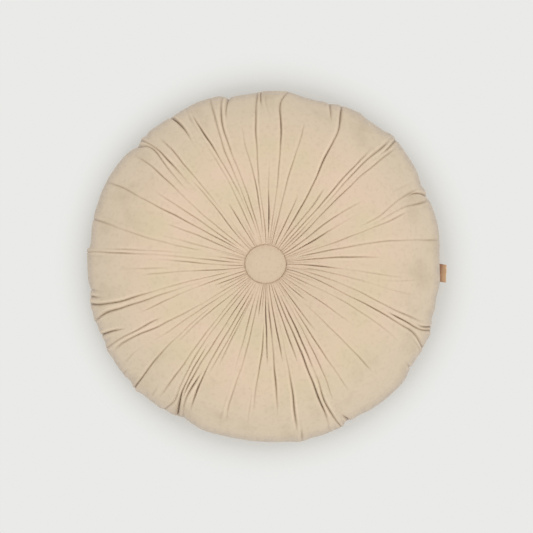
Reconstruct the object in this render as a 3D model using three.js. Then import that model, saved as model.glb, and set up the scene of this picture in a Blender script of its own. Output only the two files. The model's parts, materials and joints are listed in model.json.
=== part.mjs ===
// A round velvet cushion, gathered on both faces to a covered button and sewn shut round its rim.
// Millimetres, +Z up. It lies on its back, with the origin under the middle of its box.
import * as THREE from "three";

// Section of the filled body, from the button out to the rim seam
const RIM_RADIUS = 200.6; // of an even rim, which the rim's sections let out and pull in
const SEAM_HEIGHT = 56; // of the rim seam above the floor
const CROWN_RADIUS = 108; // where each face stands proudest
const FRONT_RISE = 60; // crown of the front above the seam
const BACK_RISE = 59.5; // crown of the back below the seam, before the floor flattens it
const DIMPLE_DEPTH = 27; // from the crown in to the button's edge
const DIMPLE_POWER = 2.1; // how quickly the dimple steepens
const ROLL_FULLNESS = { out: 0.94, up: 0.96 }; // powers of the rim's rounded section: 1 is an ellipse
const SEAM_GROOVE = { depth: 3, width: 2.6 }; // the skin drawn in along the rim seam

// Covered buttons and the pockets that they are drawn into
const BUTTON_RADIUS = 23.4;
const BUTTON_DOME = { rise: 5, power: 2.4 }; // the top over its edge, and how flat its middle is
const BUTTON_EDGE = { radius: 1.6, from: -60, to: 60, step: 30 }; // the rolled edge's arc, in degrees
const BUTTON_SIDES = 48;
const BUTTON_BACK = { radius: 16, depth: 4.6 }; // the flat underside, below the edge
const POCKET = { floor: 17.5, lip: 25.4 }; // radii of the cloth under the button's edge
const POCKET_DEPTH = { floor: 6, lip: 1 }; // below the dimple's end, at those radii
const BUTTON_CLEARANCE = 0.5; // between the button's underside and the pocket's floor

// Folded tab label in the rim seam
const LABEL = { angle: -3.3, turn: -6, droop: 5, width: 19.5, root: 197.1, tip: 205.6 };
const LABEL_THICKNESS = { root: 1.4, fold: 2 }; // the two layers, pressed at the root, fatter at the fold

// Creases: how they narrow towards the button and where the rim draws them in
const STATIONS = [30, 80, 135, 190]; // radii at which each fold's angle is given
const CREASE_WIDTH = { least: 0.9, spread: 0.014 }; // half width, and its growth with the radius
const CREASE_CROWDING = 0.34; // widest half width, as a share of the gap to the next fold
const SHOULDER = { width: 3.2, share: 0.3 }; // from a crease up to the puff beside it
const NOTCH_START = 168; // radius where a rim notch begins

// The rim, a section each 15 degrees: its reach from the button's axis, and its seam over or under level
const RIM_STEP = 15;
const RIM = rows(["reach", "seam"], [
  [197.8, 0.5],
  [200.0, -1.0],
  [200.8, -2.0],
  [204.2, 0.0],
  [202.0, 1.5],
  [195.4, 0.5],
  [197.2, -1.0],
  [198.8, -0.5],
  [200.0, 1.0],
  [201.4, 2.0],
  [204.2, 0.5],
  [204.4, -1.5],
  [204.4, -1.0],
  [205.4, 0.5],
  [205.4, 1.5],
  [204.8, 0.0],
  [201.0, -2.0],
  [200.8, -1.0],
  [201.4, 0.5],
  [204.8, 1.5],
  [203.0, 1.0],
  [204.4, -0.5],
  [203.0, -1.5],
  [198.6, 0.0],
]);

// Slow unevenness of the front's filling: waves round the cushion, their rise and where they crest
const SWELL = rows(["waves", "rise", "crest"], [
  [1, 2.1, 15],
  [2, 1.2, 140],
  [3, 1.5, 70],
  [5, 1.0, 20],
]);

// Folds of the front, anticlockwise: the angle at each station, the radii where a fold starts, is
// deepest and ends, its depth, and how far it notches the rim
const FRONT_FOLDS = rows(["a", "b", "c", "d", "from", "deepest", "to", "depth", "notch"], [
  [7.6, 5.6, 3.0, 2.0, 26, 80, 130, 2.8, 0],
  [13.4, 12.5, 11.1, 8.2, 26, 100, 205, 2.0, 0.4],
  [19.2, 19.4, 21.4, 21.8, 112, 176, 196, 2.2, 0],
  [21.5, 21.2, 23.0, 25.6, 106, 160, 230, 3.0, 3.4],
  [25.4, 28.4, 29.5, 29.0, 26, 60, 86, 3.0, 0],
  [32.0, 35.2, 33.5, 33.0, 26, 66, 124, 3.0, 0],
  [38.0, 42.0, 43.2, 42.3, 26, 110, 215, 2.8, 0.6],
  [41.0, 43.7, 44.6, 43.5, 160, 188, 216, 3.0, 0.4],
  [42.8, 45.2, 46.1, 45.0, 26, 130, 210, 2.8, 0],
  [46.5, 47.7, 48.1, 48.5, 36, 110, 170, 2.6, 0],
  [53.5, 51.7, 54.0, 54.5, 26, 80, 104, 3.0, 0],
  [58.4, 58.7, 61.3, 63.4, 26, 130, 206, 3.0, 0.8],
  [67.0, 66.2, 68.5, 70.0, 26, 55, 82, 3.0, 0],
  [70.5, 69.0, 69.6, 71.5, 176, 196, 220, 2.0, 1.8],
  [75.0, 76.1, 74.9, 75.0, 26, 90, 168, 2.2, 0],
  [82.0, 82.2, 83.4, 84.3, 30, 150, 204, 3.0, 0],
  [86.0, 88.6, 88.0, 88.2, 26, 70, 108, 3.0, 0],
  [91.3, 94.9, 94.8, 93.2, 26, 120, 205, 2.6, 0.8],
  [97.2, 97.1, 100.3, 99.8, 28, 98, 160, 2.8, 0],
  [99.5, 101.5, 103.6, 102.7, 172, 194, 225, 2.6, 2.6],
  [101.8, 105.0, 107.6, 105.6, 26, 110, 205, 3.0, 1.0],
  [106.0, 108.6, 110.1, 109.0, 30, 165, 204, 2.6, 0.6],
  [109.5, 111.0, 114.0, 116.0, 50, 156, 204, 2.8, 0.4],
  [121.8, 121.8, 119.0, 119.5, 26, 54, 80, 3.0, 0],
  [125.5, 124.5, 121.3, 121.7, 150, 186, 214, 2.8, 1.6],
  [129.8, 129.4, 129.4, 130.4, 44, 120, 184, 2.0, 0],
  [137.0, 132.0, 131.2, 132.3, 26, 90, 124, 3.0, 0],
  [139.5, 134.8, 133.1, 134.0, 126, 170, 214, 3.0, 0.6],
  [141.0, 138.5, 136.8, 136.6, 128, 176, 220, 2.4, 2.6],
  [143.5, 142.1, 140.3, 139.6, 28, 170, 200, 2.4, 0],
  [148.4, 146.8, 146.6, 147.2, 38, 90, 148, 2.4, 0],
  [151.4, 151.6, 151.8, 152.3, 34, 105, 212, 2.8, 0.8],
  [157.6, 157.0, 158.5, 159.5, 26, 86, 124, 2.8, 0],
  [167.5, 168.0, 167.3, 165.7, 84, 188, 214, 2.4, 1.2],
  [176.2, 174.8, 175.0, 175.8, 34, 180, 218, 2.6, 1.2],
  [180.0, 178.3, 177.0, 178.0, 28, 95, 124, 2.8, 0],
  [187.0, 184.9, 184.5, 184.8, 30, 80, 140, 2.0, 0],
  [188.9, 188.5, 189.0, 188.7, 190, 202, 240, 2.2, 4.0],
  [191.2, 192.1, 193.6, 193.5, 42, 180, 214, 2.8, 1.2],
  [193.6, 194.9, 196.2, 196.9, 66, 174, 206, 2.6, 0.4],
  [196.0, 197.8, 200.5, 200.0, 28, 66, 152, 2.8, 0],
  [206.0, 205.0, 204.5, 203.7, 176, 194, 214, 2.6, 1.2],
  [208.5, 208.0, 207.4, 207.2, 128, 174, 212, 2.6, 0.8],
  [211.3, 211.2, 209.9, 209.1, 28, 120, 192, 2.8, 0],
  [215.6, 214.3, 214.4, 215.0, 36, 95, 136, 2.4, 0],
  [218.0, 217.0, 219.0, 222.2, 80, 170, 218, 3.0, 1.6],
  [221.5, 219.6, 220.8, 223.8, 40, 68, 130, 2.8, 0],
  [224.2, 227.3, 229.8, 231.3, 28, 130, 190, 3.0, 0],
  [228.2, 230.2, 232.4, 235.6, 28, 140, 210, 2.8, 1.0],
  [231.6, 233.0, 234.5, 237.9, 116, 170, 206, 2.8, 0.6],
  [234.7, 235.7, 236.5, 238.6, 28, 110, 162, 2.8, 0],
  [237.2, 238.0, 238.8, 239.3, 146, 174, 198, 2.6, 0],
  [240.0, 240.1, 240.2, 242.8, 32, 120, 214, 3.0, 3.4],
  [247.6, 245.7, 244.8, 246.2, 42, 70, 122, 2.4, 0],
  [250.5, 253.0, 253.2, 253.4, 34, 76, 104, 3.0, 0],
  [256.0, 257.2, 255.7, 255.6, 40, 90, 182, 2.2, 0],
  [266.6, 267.2, 265.2, 265.0, 66, 110, 168, 2.6, 0],
  [268.2, 270.1, 270.6, 270.6, 28, 66, 106, 3.4, 0],
  [273.0, 274.3, 274.5, 273.6, 32, 116, 168, 2.8, 0],
  [277.2, 279.0, 280.0, 279.0, 30, 72, 110, 2.8, 0],
  [281.8, 282.5, 282.1, 280.5, 40, 160, 206, 2.6, 0.4],
  [285.3, 286.8, 288.0, 287.0, 30, 70, 122, 2.8, 0],
  [290.0, 290.9, 291.6, 291.2, 36, 120, 208, 3.4, 0.6],
  [294.2, 294.9, 294.1, 294.1, 30, 120, 210, 3.0, 0.8],
  [299.4, 299.0, 297.5, 297.2, 56, 110, 172, 2.6, 0],
  [301.0, 300.6, 299.8, 298.6, 184, 200, 235, 2.6, 3.8],
  [302.8, 302.4, 302.7, 303.2, 46, 100, 170, 2.8, 0],
  [305.9, 306.2, 307.0, 307.5, 28, 52, 90, 3.0, 0],
  [312.5, 315.1, 315.2, 315.0, 58, 100, 164, 2.6, 0],
  [324.5, 325.7, 324.5, 324.0, 32, 80, 112, 2.6, 0],
  [335.0, 335.1, 332.4, 327.6, 32, 128, 178, 2.4, 0],
  [347.5, 340.9, 337.3, 334.2, 26, 120, 208, 3.2, 1.2],
  [349.0, 343.0, 339.0, 337.2, 124, 175, 204, 2.8, 0.6],
  [351.5, 346.4, 341.8, 339.8, 40, 134, 200, 2.8, 0],
  [360.2, 357.2, 354.7, 356.5, 26, 60, 160, 2.4, 0],
]);

// Gathers of the back: short ones round its button, which lean a share of the way that the front's do
const BACK_GATHER = { from: 24, deepest: 56, to: 98, depth: 2.4, lean: 0.3 };
const BACK_VARIETY = { share: 0.6, turn: 2.4 }; // how much and how fast their depth changes

// Rings of the skin as shares of a face's section: 0 at the button's edge, 0.5 at the crown, 1 at the seam
const FRONT_RINGS = [0.02, 0.08, 0.16, 0.26, 0.37, 0.5, 0.6, 0.69, 0.77, 0.85, 0.92, 0.97];
const BACK_RINGS = [0.04, 0.16, 0.32, 0.5, 0.6, 0.7, 0.8, 0.89, 0.96];
const SLOPE_STEP = 0.004; // share of the section over which its slope is taken

const VELVET = { color: 0xd6bf9f, roughness: 0.95, metalness: 0 };
const TAB_LEATHER = { color: 0xb58a5c, roughness: 0.6, metalness: 0 };

function rows(names, values) {
  return values.map((row) => Object.fromEntries(names.map((name, i) => [name, row[i]])));
}

function smoothstep(x) {
  return THREE.MathUtils.smoothstep(x, 0, 1);
}

// A value of the rim's sections at an angle in degrees, on a smooth closed curve through them
function rimValue(angle, name) {
  const place = THREE.MathUtils.euclideanModulo(angle, 360) / RIM_STEP;
  const first = Math.floor(place);
  const [before, here, next, after] = [-1, 0, 1, 2].map(
    (step) => RIM[(first + step + RIM.length) % RIM.length][name],
  );
  const t = place - first;
  const bend = (next - before) * t + (2 * before - 5 * here + 4 * next - after) * t * t;
  return here + (bend + (3 * (here - next) + after - before) * t ** 3) / 2;
}

// A fold's angle at a radius, eased from station to station
function foldAngle(fold, radius) {
  const angles = [fold.a, fold.b, fold.c, fold.d];
  const last = STATIONS.length - 1;
  if (radius <= STATIONS[0]) return angles[0];
  if (radius >= STATIONS[last]) return angles[last];
  const next = STATIONS.findIndex((station) => station > radius);
  const slope = (i) => {
    const low = Math.max(i - 1, 0);
    const high = Math.min(i + 1, last);
    return (angles[high] - angles[low]) / (STATIONS[high] - STATIONS[low]);
  };
  const span = STATIONS[next] - STATIONS[next - 1];
  const t = (radius - STATIONS[next - 1]) / span;
  const ease = t * t * (3 - 2 * t);
  const leave = slope(next - 1) * span * t * (1 - t) ** 2;
  const arrive = slope(next) * span * t * t * (1 - t);
  return angles[next - 1] + (angles[next] - angles[next - 1]) * ease + leave - arrive;
}

// How deep a fold is at a radius: it rises to its deepest place, then runs out
function foldDepth(fold, radius) {
  const opening = (radius - fold.from) / (fold.deepest - fold.from);
  const closing = (fold.to - radius) / (fold.to - fold.deepest);
  const notch = fold.notch * smoothstep((radius - NOTCH_START) / (RIM_RADIUS - NOTCH_START));
  return fold.depth * Math.sqrt(smoothstep(Math.min(opening, closing))) + notch;
}

// The back's folds, one for each of the front's, so that both panels meet in the same notches
function backFolds() {
  return FRONT_FOLDS.map((front, i) => {
    const inner = front.a + (front.d - front.a) * BACK_GATHER.lean;
    const lively = 1 + BACK_VARIETY.share * Math.sin(i * BACK_VARIETY.turn);
    return {
      a: inner,
      b: inner,
      c: (inner + front.d) / 2,
      d: front.d,
      from: BACK_GATHER.from,
      deepest: BACK_GATHER.deepest,
      to: BACK_GATHER.to,
      depth: BACK_GATHER.depth * lively,
      notch: front.notch,
    };
  });
}

// The section of a face: radius and height above the seam at a share of the way from button to seam
function section(share, rise) {
  if (share <= 0.5) {
    const inward = 1 - share * 2;
    return {
      radius: CROWN_RADIUS - (CROWN_RADIUS - BUTTON_RADIUS) * inward,
      height: rise - DIMPLE_DEPTH * inward ** DIMPLE_POWER,
    };
  }
  const turn = (share - 0.5) * Math.PI;
  const height = rise * Math.max(Math.cos(turn), 0) ** ROLL_FULLNESS.up;
  const out = (RIM_RADIUS - CROWN_RADIUS) * Math.sin(turn) ** ROLL_FULLNESS.out;
  const groove = SEAM_GROOVE.depth * Math.exp(-height / SEAM_GROOVE.width);
  return { radius: CROWN_RADIUS + out - groove, height };
}

// A ring of the section, with the direction in which its skin faces
function ring(share, rise) {
  const inner = section(Math.max(share - SLOPE_STEP, 0), rise);
  const outer = section(Math.min(share + SLOPE_STEP, 1), rise);
  const run = outer.radius - inner.radius;
  const fall = inner.height - outer.height;
  const length = Math.hypot(run, fall);
  return { ...section(share, rise), faces: { out: fall / length, up: run / length } };
}

// The rings of one face from the pocket's floor out to its last ring before the seam
function faceRings(shares, rise) {
  const edge = section(0, rise).height;
  const pocket = ["floor", "lip"].map((place) => ({
    radius: POCKET[place],
    height: edge - POCKET_DEPTH[place],
    faces: { out: 0, up: 0 },
  }));
  return [...pocket, ...shares.map((share) => ring(share, rise))];
}

// The angles of a ring's vertices: each fold gives its crease and a shoulder on either side
function ringAngles(folds, radius) {
  const creases = folds.map((fold) => foldAngle(fold, radius));
  const count = creases.length;
  const widest = THREE.MathUtils.radToDeg(SHOULDER.width / radius);
  return creases.flatMap((crease, i) => {
    const before = i ? creases[i - 1] : creases[count - 1] - 360;
    const after = i < count - 1 ? creases[i + 1] : creases[0] + 360;
    const right = Math.min(widest, SHOULDER.share * (crease - before));
    const left = Math.min(widest, SHOULDER.share * (after - crease));
    return [crease - right, crease, crease + left];
  });
}

// How far all the folds together draw the skin in at a radius and an angle
function creasePull(folds, radius, angle) {
  const creases = folds.map((fold) => foldAngle(fold, radius));
  let pull = 0;
  creases.forEach((crease, i) => {
    const apart = THREE.MathUtils.euclideanModulo(angle - crease + 180, 360) - 180;
    const next = creases[(i + 1) % creases.length];
    const pitch = THREE.MathUtils.degToRad(THREE.MathUtils.euclideanModulo(next - crease, 360)) * radius;
    const usual = CREASE_WIDTH.least + CREASE_WIDTH.spread * radius;
    const width = Math.max(Math.min(usual, CREASE_CROWDING * pitch), CREASE_WIDTH.least / 2);
    const across = Math.abs(THREE.MathUtils.degToRad(apart)) * radius;
    pull += foldDepth(folds[i], radius) * Math.exp(-across / width);
  });
  return pull;
}

// The front's filling stands a little higher here, lower there
function swell(angle) {
  const wave = (row) => row.rise * Math.cos(THREE.MathUtils.degToRad(row.waves * (angle - row.crest)));
  return SWELL.reduce((sum, row) => sum + wave(row), 0) / FRONT_RISE;
}

// A point of the skin. Side is 1 on the front and -1 on the back.
function skinPoint(side, folds, place, angle) {
  const share = place.radius / RIM_RADIUS;
  const stretch = 1 + (rimValue(angle, "reach") / RIM_RADIUS - 1) * share ** 2;
  const pull = place.faces.up || place.faces.out ? creasePull(folds, place.radius, angle) : 0;
  const lift = side > 0 ? 1 + swell(angle) * share : 1;
  const radius = place.radius * stretch - place.faces.out * pull;
  const height = place.height * lift - place.faces.up * pull;
  const seam = SEAM_HEIGHT + rimValue(angle, "seam") * share ** 4;
  const turn = THREE.MathUtils.degToRad(angle);
  return new THREE.Vector3(
    radius * Math.cos(turn),
    radius * Math.sin(turn),
    Math.max(seam + side * height, 0),
  );
}

// The whole skin as one closed body: front rings out to the seam, then back rings in from it
function cushionGeometry() {
  const back = backFolds();
  const seam = ring(1, FRONT_RISE);
  const front = faceRings(FRONT_RINGS, FRONT_RISE).map((place) => ({ side: 1, folds: FRONT_FOLDS, place }));
  const rear = faceRings(BACK_RINGS, BACK_RISE).map((place) => ({ side: -1, folds: back, place }));
  const seamRing = { side: 1, folds: FRONT_FOLDS, place: { ...seam, faces: { out: 1, up: 0 } } };
  const all = [...front, seamRing, ...rear.reverse()];
  const columns = FRONT_FOLDS.length * 3;
  const positions = [];
  all.forEach(({ side, folds, place }) => {
    ringAngles(folds, place.radius).forEach((angle) => {
      positions.push(...skinPoint(side, folds, place, angle));
    });
  });
  const index = [];
  for (let row = 0; row + 1 < all.length; row++) {
    for (let column = 0; column < columns; column++) {
      const here = row * columns + column;
      const beside = row * columns + ((column + 1) % columns);
      index.push(here, here + columns, beside + columns, here, beside + columns, beside);
    }
  }
  addFloor(positions, index, 0, columns, false);
  addFloor(positions, index, (all.length - 1) * columns, columns, true);
  const geometry = new THREE.BufferGeometry();
  geometry.setAttribute("position", new THREE.Float32BufferAttribute(positions, 3));
  geometry.setIndex(index);
  return geometry;
}

// Closes a pocket's floor with a fan about the button's axis
function addFloor(positions, index, first, columns, turned) {
  const centre = positions.length / 3;
  positions.push(0, 0, positions[first * 3 + 2]);
  for (let column = 0; column < columns; column++) {
    const here = first + column;
    const beside = first + ((column + 1) % columns);
    index.push(...(turned ? [centre, beside, here] : [centre, here, beside]));
  }
}

// A covered button: a flat back, an edge rolled over and a low dome
function buttonGeometry() {
  const profile = [new THREE.Vector2(0, -BUTTON_BACK.depth)];
  profile.push(new THREE.Vector2(BUTTON_BACK.radius, -BUTTON_BACK.depth));
  const { radius, from, to, step } = BUTTON_EDGE;
  for (let turn = from; turn <= to; turn += step) {
    const at = THREE.MathUtils.degToRad(turn);
    profile.push(new THREE.Vector2(BUTTON_RADIUS - radius + radius * Math.cos(at), radius * Math.sin(at)));
  }
  const domeStart = profile[profile.length - 1];
  for (const share of [0.85, 0.65, 0.4, 0]) {
    const climb = (BUTTON_DOME.rise - domeStart.y) * (1 - share ** BUTTON_DOME.power);
    profile.push(new THREE.Vector2(domeStart.x * share, domeStart.y + climb));
  }
  const geometry = new THREE.LatheGeometry(profile, BUTTON_SIDES);
  geometry.rotateX(Math.PI / 2);
  return geometry;
}

// A narrow strip folded back on itself, its fold a little fatter than its root
function labelGeometry() {
  const root = LABEL_THICKNESS.root / 2;
  const fold = LABEL_THICKNESS.fold / 2;
  const outline = new THREE.Shape();
  outline.moveTo(0, -root);
  outline.lineTo(LABEL.tip - LABEL.root - fold, -fold);
  outline.absarc(LABEL.tip - LABEL.root - fold, 0, fold, -Math.PI / 2, Math.PI / 2, false);
  outline.lineTo(0, root);
  outline.closePath();
  const geometry = new THREE.ExtrudeGeometry(outline, {
    depth: LABEL.width,
    bevelEnabled: false,
    curveSegments: 6,
  });
  geometry.translate(0, 0, -LABEL.width / 2);
  geometry.rotateX(Math.PI / 2);
  geometry.rotateY(THREE.MathUtils.degToRad(LABEL.droop));
  return geometry;
}

function piece(name, geometry, finish) {
  const mesh = new THREE.Mesh(geometry, new THREE.MeshStandardMaterial(finish));
  mesh.name = name;
  return mesh;
}

const model = new THREE.Group();
model.add(piece("cushion", cushionGeometry(), VELVET));

// Each button's underside stands just clear of its pocket's floor
const buttonSeat = POCKET_DEPTH.floor - BUTTON_BACK.depth - BUTTON_CLEARANCE;
const frontButton = piece("front_button", buttonGeometry(), VELVET);
frontButton.position.z = SEAM_HEIGHT + FRONT_RISE - DIMPLE_DEPTH - buttonSeat;
const backButton = piece("back_button", buttonGeometry(), VELVET);
backButton.position.z = SEAM_HEIGHT - BACK_RISE + DIMPLE_DEPTH + buttonSeat;
backButton.rotation.x = Math.PI;
model.add(frontButton, backButton);

const labelTurn = THREE.MathUtils.degToRad(LABEL.angle);
const label = piece("label", labelGeometry(), TAB_LEATHER);
label.rotation.z = THREE.MathUtils.degToRad(LABEL.turn);
label.position.set(
  LABEL.root * Math.cos(labelTurn),
  LABEL.root * Math.sin(labelTurn),
  SEAM_HEIGHT + rimValue(LABEL.angle, "seam"),
);
model.add(label);

// The origin goes under the middle of the whole box
const middle = new THREE.Box3().setFromObject(model).getCenter(new THREE.Vector3());
model.position.set(-middle.x, -middle.y, 0);

export default model;
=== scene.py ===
"""A round velvet cushion, gathered on both faces to a covered button, lying on its back in a studio.

Sizes are in millimetres and angles in degrees, and meshes are made in metres, +Z up. The folds go
anticlockwise round the button's axis, seen from above.
"""

import json
import logging
import math
from collections.abc import Mapping, Sequence
from dataclasses import dataclass, field
from enum import Enum
from typing import Any

import bpy
import numpy as np
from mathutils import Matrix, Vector

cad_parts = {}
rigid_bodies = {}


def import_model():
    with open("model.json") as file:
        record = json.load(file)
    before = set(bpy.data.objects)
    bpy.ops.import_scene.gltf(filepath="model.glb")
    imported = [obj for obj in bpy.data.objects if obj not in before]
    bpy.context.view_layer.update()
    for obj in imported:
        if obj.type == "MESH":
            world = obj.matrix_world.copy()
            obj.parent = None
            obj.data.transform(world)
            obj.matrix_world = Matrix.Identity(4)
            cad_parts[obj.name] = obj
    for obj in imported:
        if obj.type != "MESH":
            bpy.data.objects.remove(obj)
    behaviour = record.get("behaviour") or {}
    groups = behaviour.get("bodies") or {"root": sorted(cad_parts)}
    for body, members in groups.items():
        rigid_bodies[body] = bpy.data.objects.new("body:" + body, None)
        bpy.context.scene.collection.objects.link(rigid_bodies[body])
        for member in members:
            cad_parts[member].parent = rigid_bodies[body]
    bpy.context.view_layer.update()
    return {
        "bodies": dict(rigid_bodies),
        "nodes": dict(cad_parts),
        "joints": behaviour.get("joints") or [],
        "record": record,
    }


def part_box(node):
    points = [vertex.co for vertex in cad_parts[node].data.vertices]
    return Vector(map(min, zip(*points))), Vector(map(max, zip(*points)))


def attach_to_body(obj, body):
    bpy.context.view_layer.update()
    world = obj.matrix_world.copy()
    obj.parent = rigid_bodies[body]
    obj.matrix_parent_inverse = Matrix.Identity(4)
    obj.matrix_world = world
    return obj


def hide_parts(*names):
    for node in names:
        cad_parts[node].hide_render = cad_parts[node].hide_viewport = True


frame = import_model()

LOG = logging.getLogger("cushion")
MM = 0.001
BODY = "root"

Colour = tuple[float, float, float]


class Side(Enum):
    """A face of the cushion, by the way that it looks along +Z."""

    FRONT = 1
    BACK = -1


class Slot(Enum):
    """A material slot of the record."""

    VELVET = "velvet"
    TAB = "tab"


def paint(red: int, green: int, blue: int) -> Colour:
    """Turn a screen colour into the linear light that a shader takes.

    Args:
        red: from 0 to 255, as green and blue are.
        green: see red.
        blue: see red.

    Returns:
        The colour as three numbers from 0 to 1.
    """

    def linear(level: int) -> float:
        """Undo the screen's curve for one channel."""
        share = level / 255
        return share / 12.92 if share <= 0.04045 else ((share + 0.055) / 1.055) ** 2.4

    return linear(red), linear(green), linear(blue)


def smoothstep(share: np.ndarray) -> np.ndarray:
    """Ease a share of the way, held between 0 and 1."""
    held = np.clip(share, 0, 1)
    return held * held * (3 - 2 * held)


def follow(places: np.ndarray, values: np.ndarray, at: np.ndarray) -> np.ndarray:
    """Follow a smooth curve through given points.

    Args:
        places: the points' places, rising.
        values: the points' values, in the last axis.
        at: where to read the curve.

    Returns:
        Its values there, in the last axis.
    """
    held = np.clip(at, places[0], places[-1])
    after = np.clip(np.searchsorted(places, held, side="right"), 1, len(places) - 1)
    low = np.maximum(np.arange(len(places)) - 1, 0)
    high = np.minimum(np.arange(len(places)) + 1, len(places) - 1)
    slopes = (values[..., high] - values[..., low]) / (places[high] - places[low])
    span = places[after] - places[after - 1]
    t = (held - places[after - 1]) / span
    first, second = values[..., after - 1], values[..., after]
    leave = slopes[..., after - 1] * span * t * (1 - t) ** 2
    arrive = slopes[..., after] * span * t * t * (1 - t)
    return first + (second - first) * t * t * (3 - 2 * t) + leave - arrive


class Signal:
    """A shader socket that takes part in Python expressions."""

    def __init__(self, bench: "NodeBench", socket: bpy.types.NodeSocket) -> None:
        """Wrap an output socket of a tree.

        Args:
            bench: the bench that lays out the socket's tree.
            socket: the output to wrap.
        """
        self.bench = bench
        self.socket = socket

    def _math(self, operation: str, first: "Signal | float", second: "Signal | float") -> "Signal":
        """Add a Math node.

        Args:
            operation: the node's operation.
            first: its first value.
            second: its second value.

        Returns:
            The result.
        """
        return self.bench.add("ShaderNodeMath", {"operation": operation}, {0: first, 1: second})

    def __add__(self, other: "Signal | float") -> "Signal":
        """Add another value."""
        return self._math("ADD", self, other)

    def __radd__(self, other: float) -> "Signal":
        """Add to a number."""
        return self._math("ADD", other, self)

    def __sub__(self, other: "Signal | float") -> "Signal":
        """Take another value away."""
        return self._math("SUBTRACT", self, other)

    def __rsub__(self, other: float) -> "Signal":
        """Take this away from a number."""
        return self._math("SUBTRACT", other, self)

    def __mul__(self, other: "Signal | float") -> "Signal":
        """Multiply by another value."""
        return self._math("MULTIPLY", self, other)

    def __rmul__(self, other: float) -> "Signal":
        """Multiply a number."""
        return self._math("MULTIPLY", other, self)

    def held(self) -> "Signal":
        """Hold the value between 0 and 1."""
        return self._math("MINIMUM", self._math("MAXIMUM", self, 0.0), 1.0)


class NodeBench:
    """The node tree of one material or world, laid out by short calls."""

    def __init__(self, owner: "bpy.types.Material | bpy.types.World") -> None:
        """Clear the owner's tree.

        Args:
            owner: the material or world to dress.
        """
        owner.use_nodes = True
        self.tree = owner.node_tree
        self.tree.nodes.clear()

    @staticmethod
    def _socket(sockets: Any, key: "int | str") -> bpy.types.NodeSocket:
        """Find a socket.

        Args:
            sockets: a node's inputs or outputs.
            key: its index, its identifier or its name.

        Returns:
            The socket.
        """
        if isinstance(key, int):
            return sockets[key]
        named = [socket for socket in sockets if socket.identifier == key]
        return named[0] if named else sockets[key]

    def add(
        self,
        kind: str,
        settings: Mapping[str, Any] | None = None,
        inputs: Mapping[Any, Any] | None = None,
        output: "int | str" = 0,
    ) -> Signal:
        """Add a node of any type.

        Args:
            kind: the node's type.
            settings: its own settings, set first; "stops" are a ramp's places and colours.
            inputs: values or links by socket.
            output: the output to hand back.

        Returns:
            That output.
        """
        node = self.tree.nodes.new(kind)
        for name, value in (settings or {}).items():
            if name == "stops":
                self._set_stops(node.color_ramp, value)
            else:
                setattr(node, name, value)
        for key, value in (inputs or {}).items():
            socket = self._socket(node.inputs, key)
            if isinstance(value, Signal):
                self.tree.links.new(value.socket, socket)
            elif socket.type == "RGBA":
                socket.default_value = (*value, 1.0)
            else:
                socket.default_value = value
        return Signal(self, self._socket(node.outputs, output))

    @staticmethod
    def _set_stops(ramp: bpy.types.ColorRamp, stops: Sequence[tuple[float, Colour]]) -> None:
        """Give a ramp its stops.

        Args:
            ramp: the ramp.
            stops: each stop's place and colour.
        """
        while len(ramp.elements) < len(stops):
            ramp.elements.new(1.0)
        for element, (place, colour) in zip(ramp.elements, stops):
            element.position = place
            element.color = (*colour, 1.0)

    def noise(self, where: Signal, per_metre: float, detail: float = 2.0) -> Signal:
        """Add a noise field.

        Args:
            where: the place on the object.
            per_metre: how many of its lumps fit in a metre.
            detail: how many finer layers it has.

        Returns:
            Its value, from about 0.3 to 0.7.
        """
        return self.add("ShaderNodeTexNoise", {}, {"Vector": where, "Scale": per_metre, "Detail": detail})

    def mask(self, name: str) -> Signal:
        """Read a value that the mesh holds for each of its points."""
        return self.add("ShaderNodeAttribute", {"attribute_name": name}, output="Fac")

    def blend(self, share: "Signal | float", first: Any, second: Any) -> Signal:
        """Mix two colours.

        Args:
            share: how much of the second.
            first: a colour or a link.
            second: a colour or a link.

        Returns:
            The mixed colour.
        """
        inputs = {"Factor_Float": share, "A_Color": first, "B_Color": second}
        return self.add("ShaderNodeMix", {"data_type": "RGBA"}, inputs, "Result_Color")

    def bump(self, height: Signal, rise: float) -> Signal:
        """Add a bump.

        Args:
            height: its height, from 0 to 1.
            rise: how high 1 stands, in metres.

        Returns:
            The bumped normal.
        """
        return self.add("ShaderNodeBump", {}, {"Height": height, "Distance": rise, "Strength": 1.0})

    def coat(self, inputs: Mapping[str, Any]) -> None:
        """Finish the tree with a principled surface.

        Args:
            inputs: values or links by socket.
        """
        self.finish(self.add("ShaderNodeBsdfPrincipled", {}, inputs))

    def finish(self, shader: Signal, kind: str = "ShaderNodeOutputMaterial") -> None:
        """Link a shader to the tree's output.

        Args:
            shader: the shader.
            kind: the output node's type.
        """
        node = self.tree.nodes.new(kind)
        self.tree.links.new(shader.socket, node.inputs["Surface"])


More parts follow.
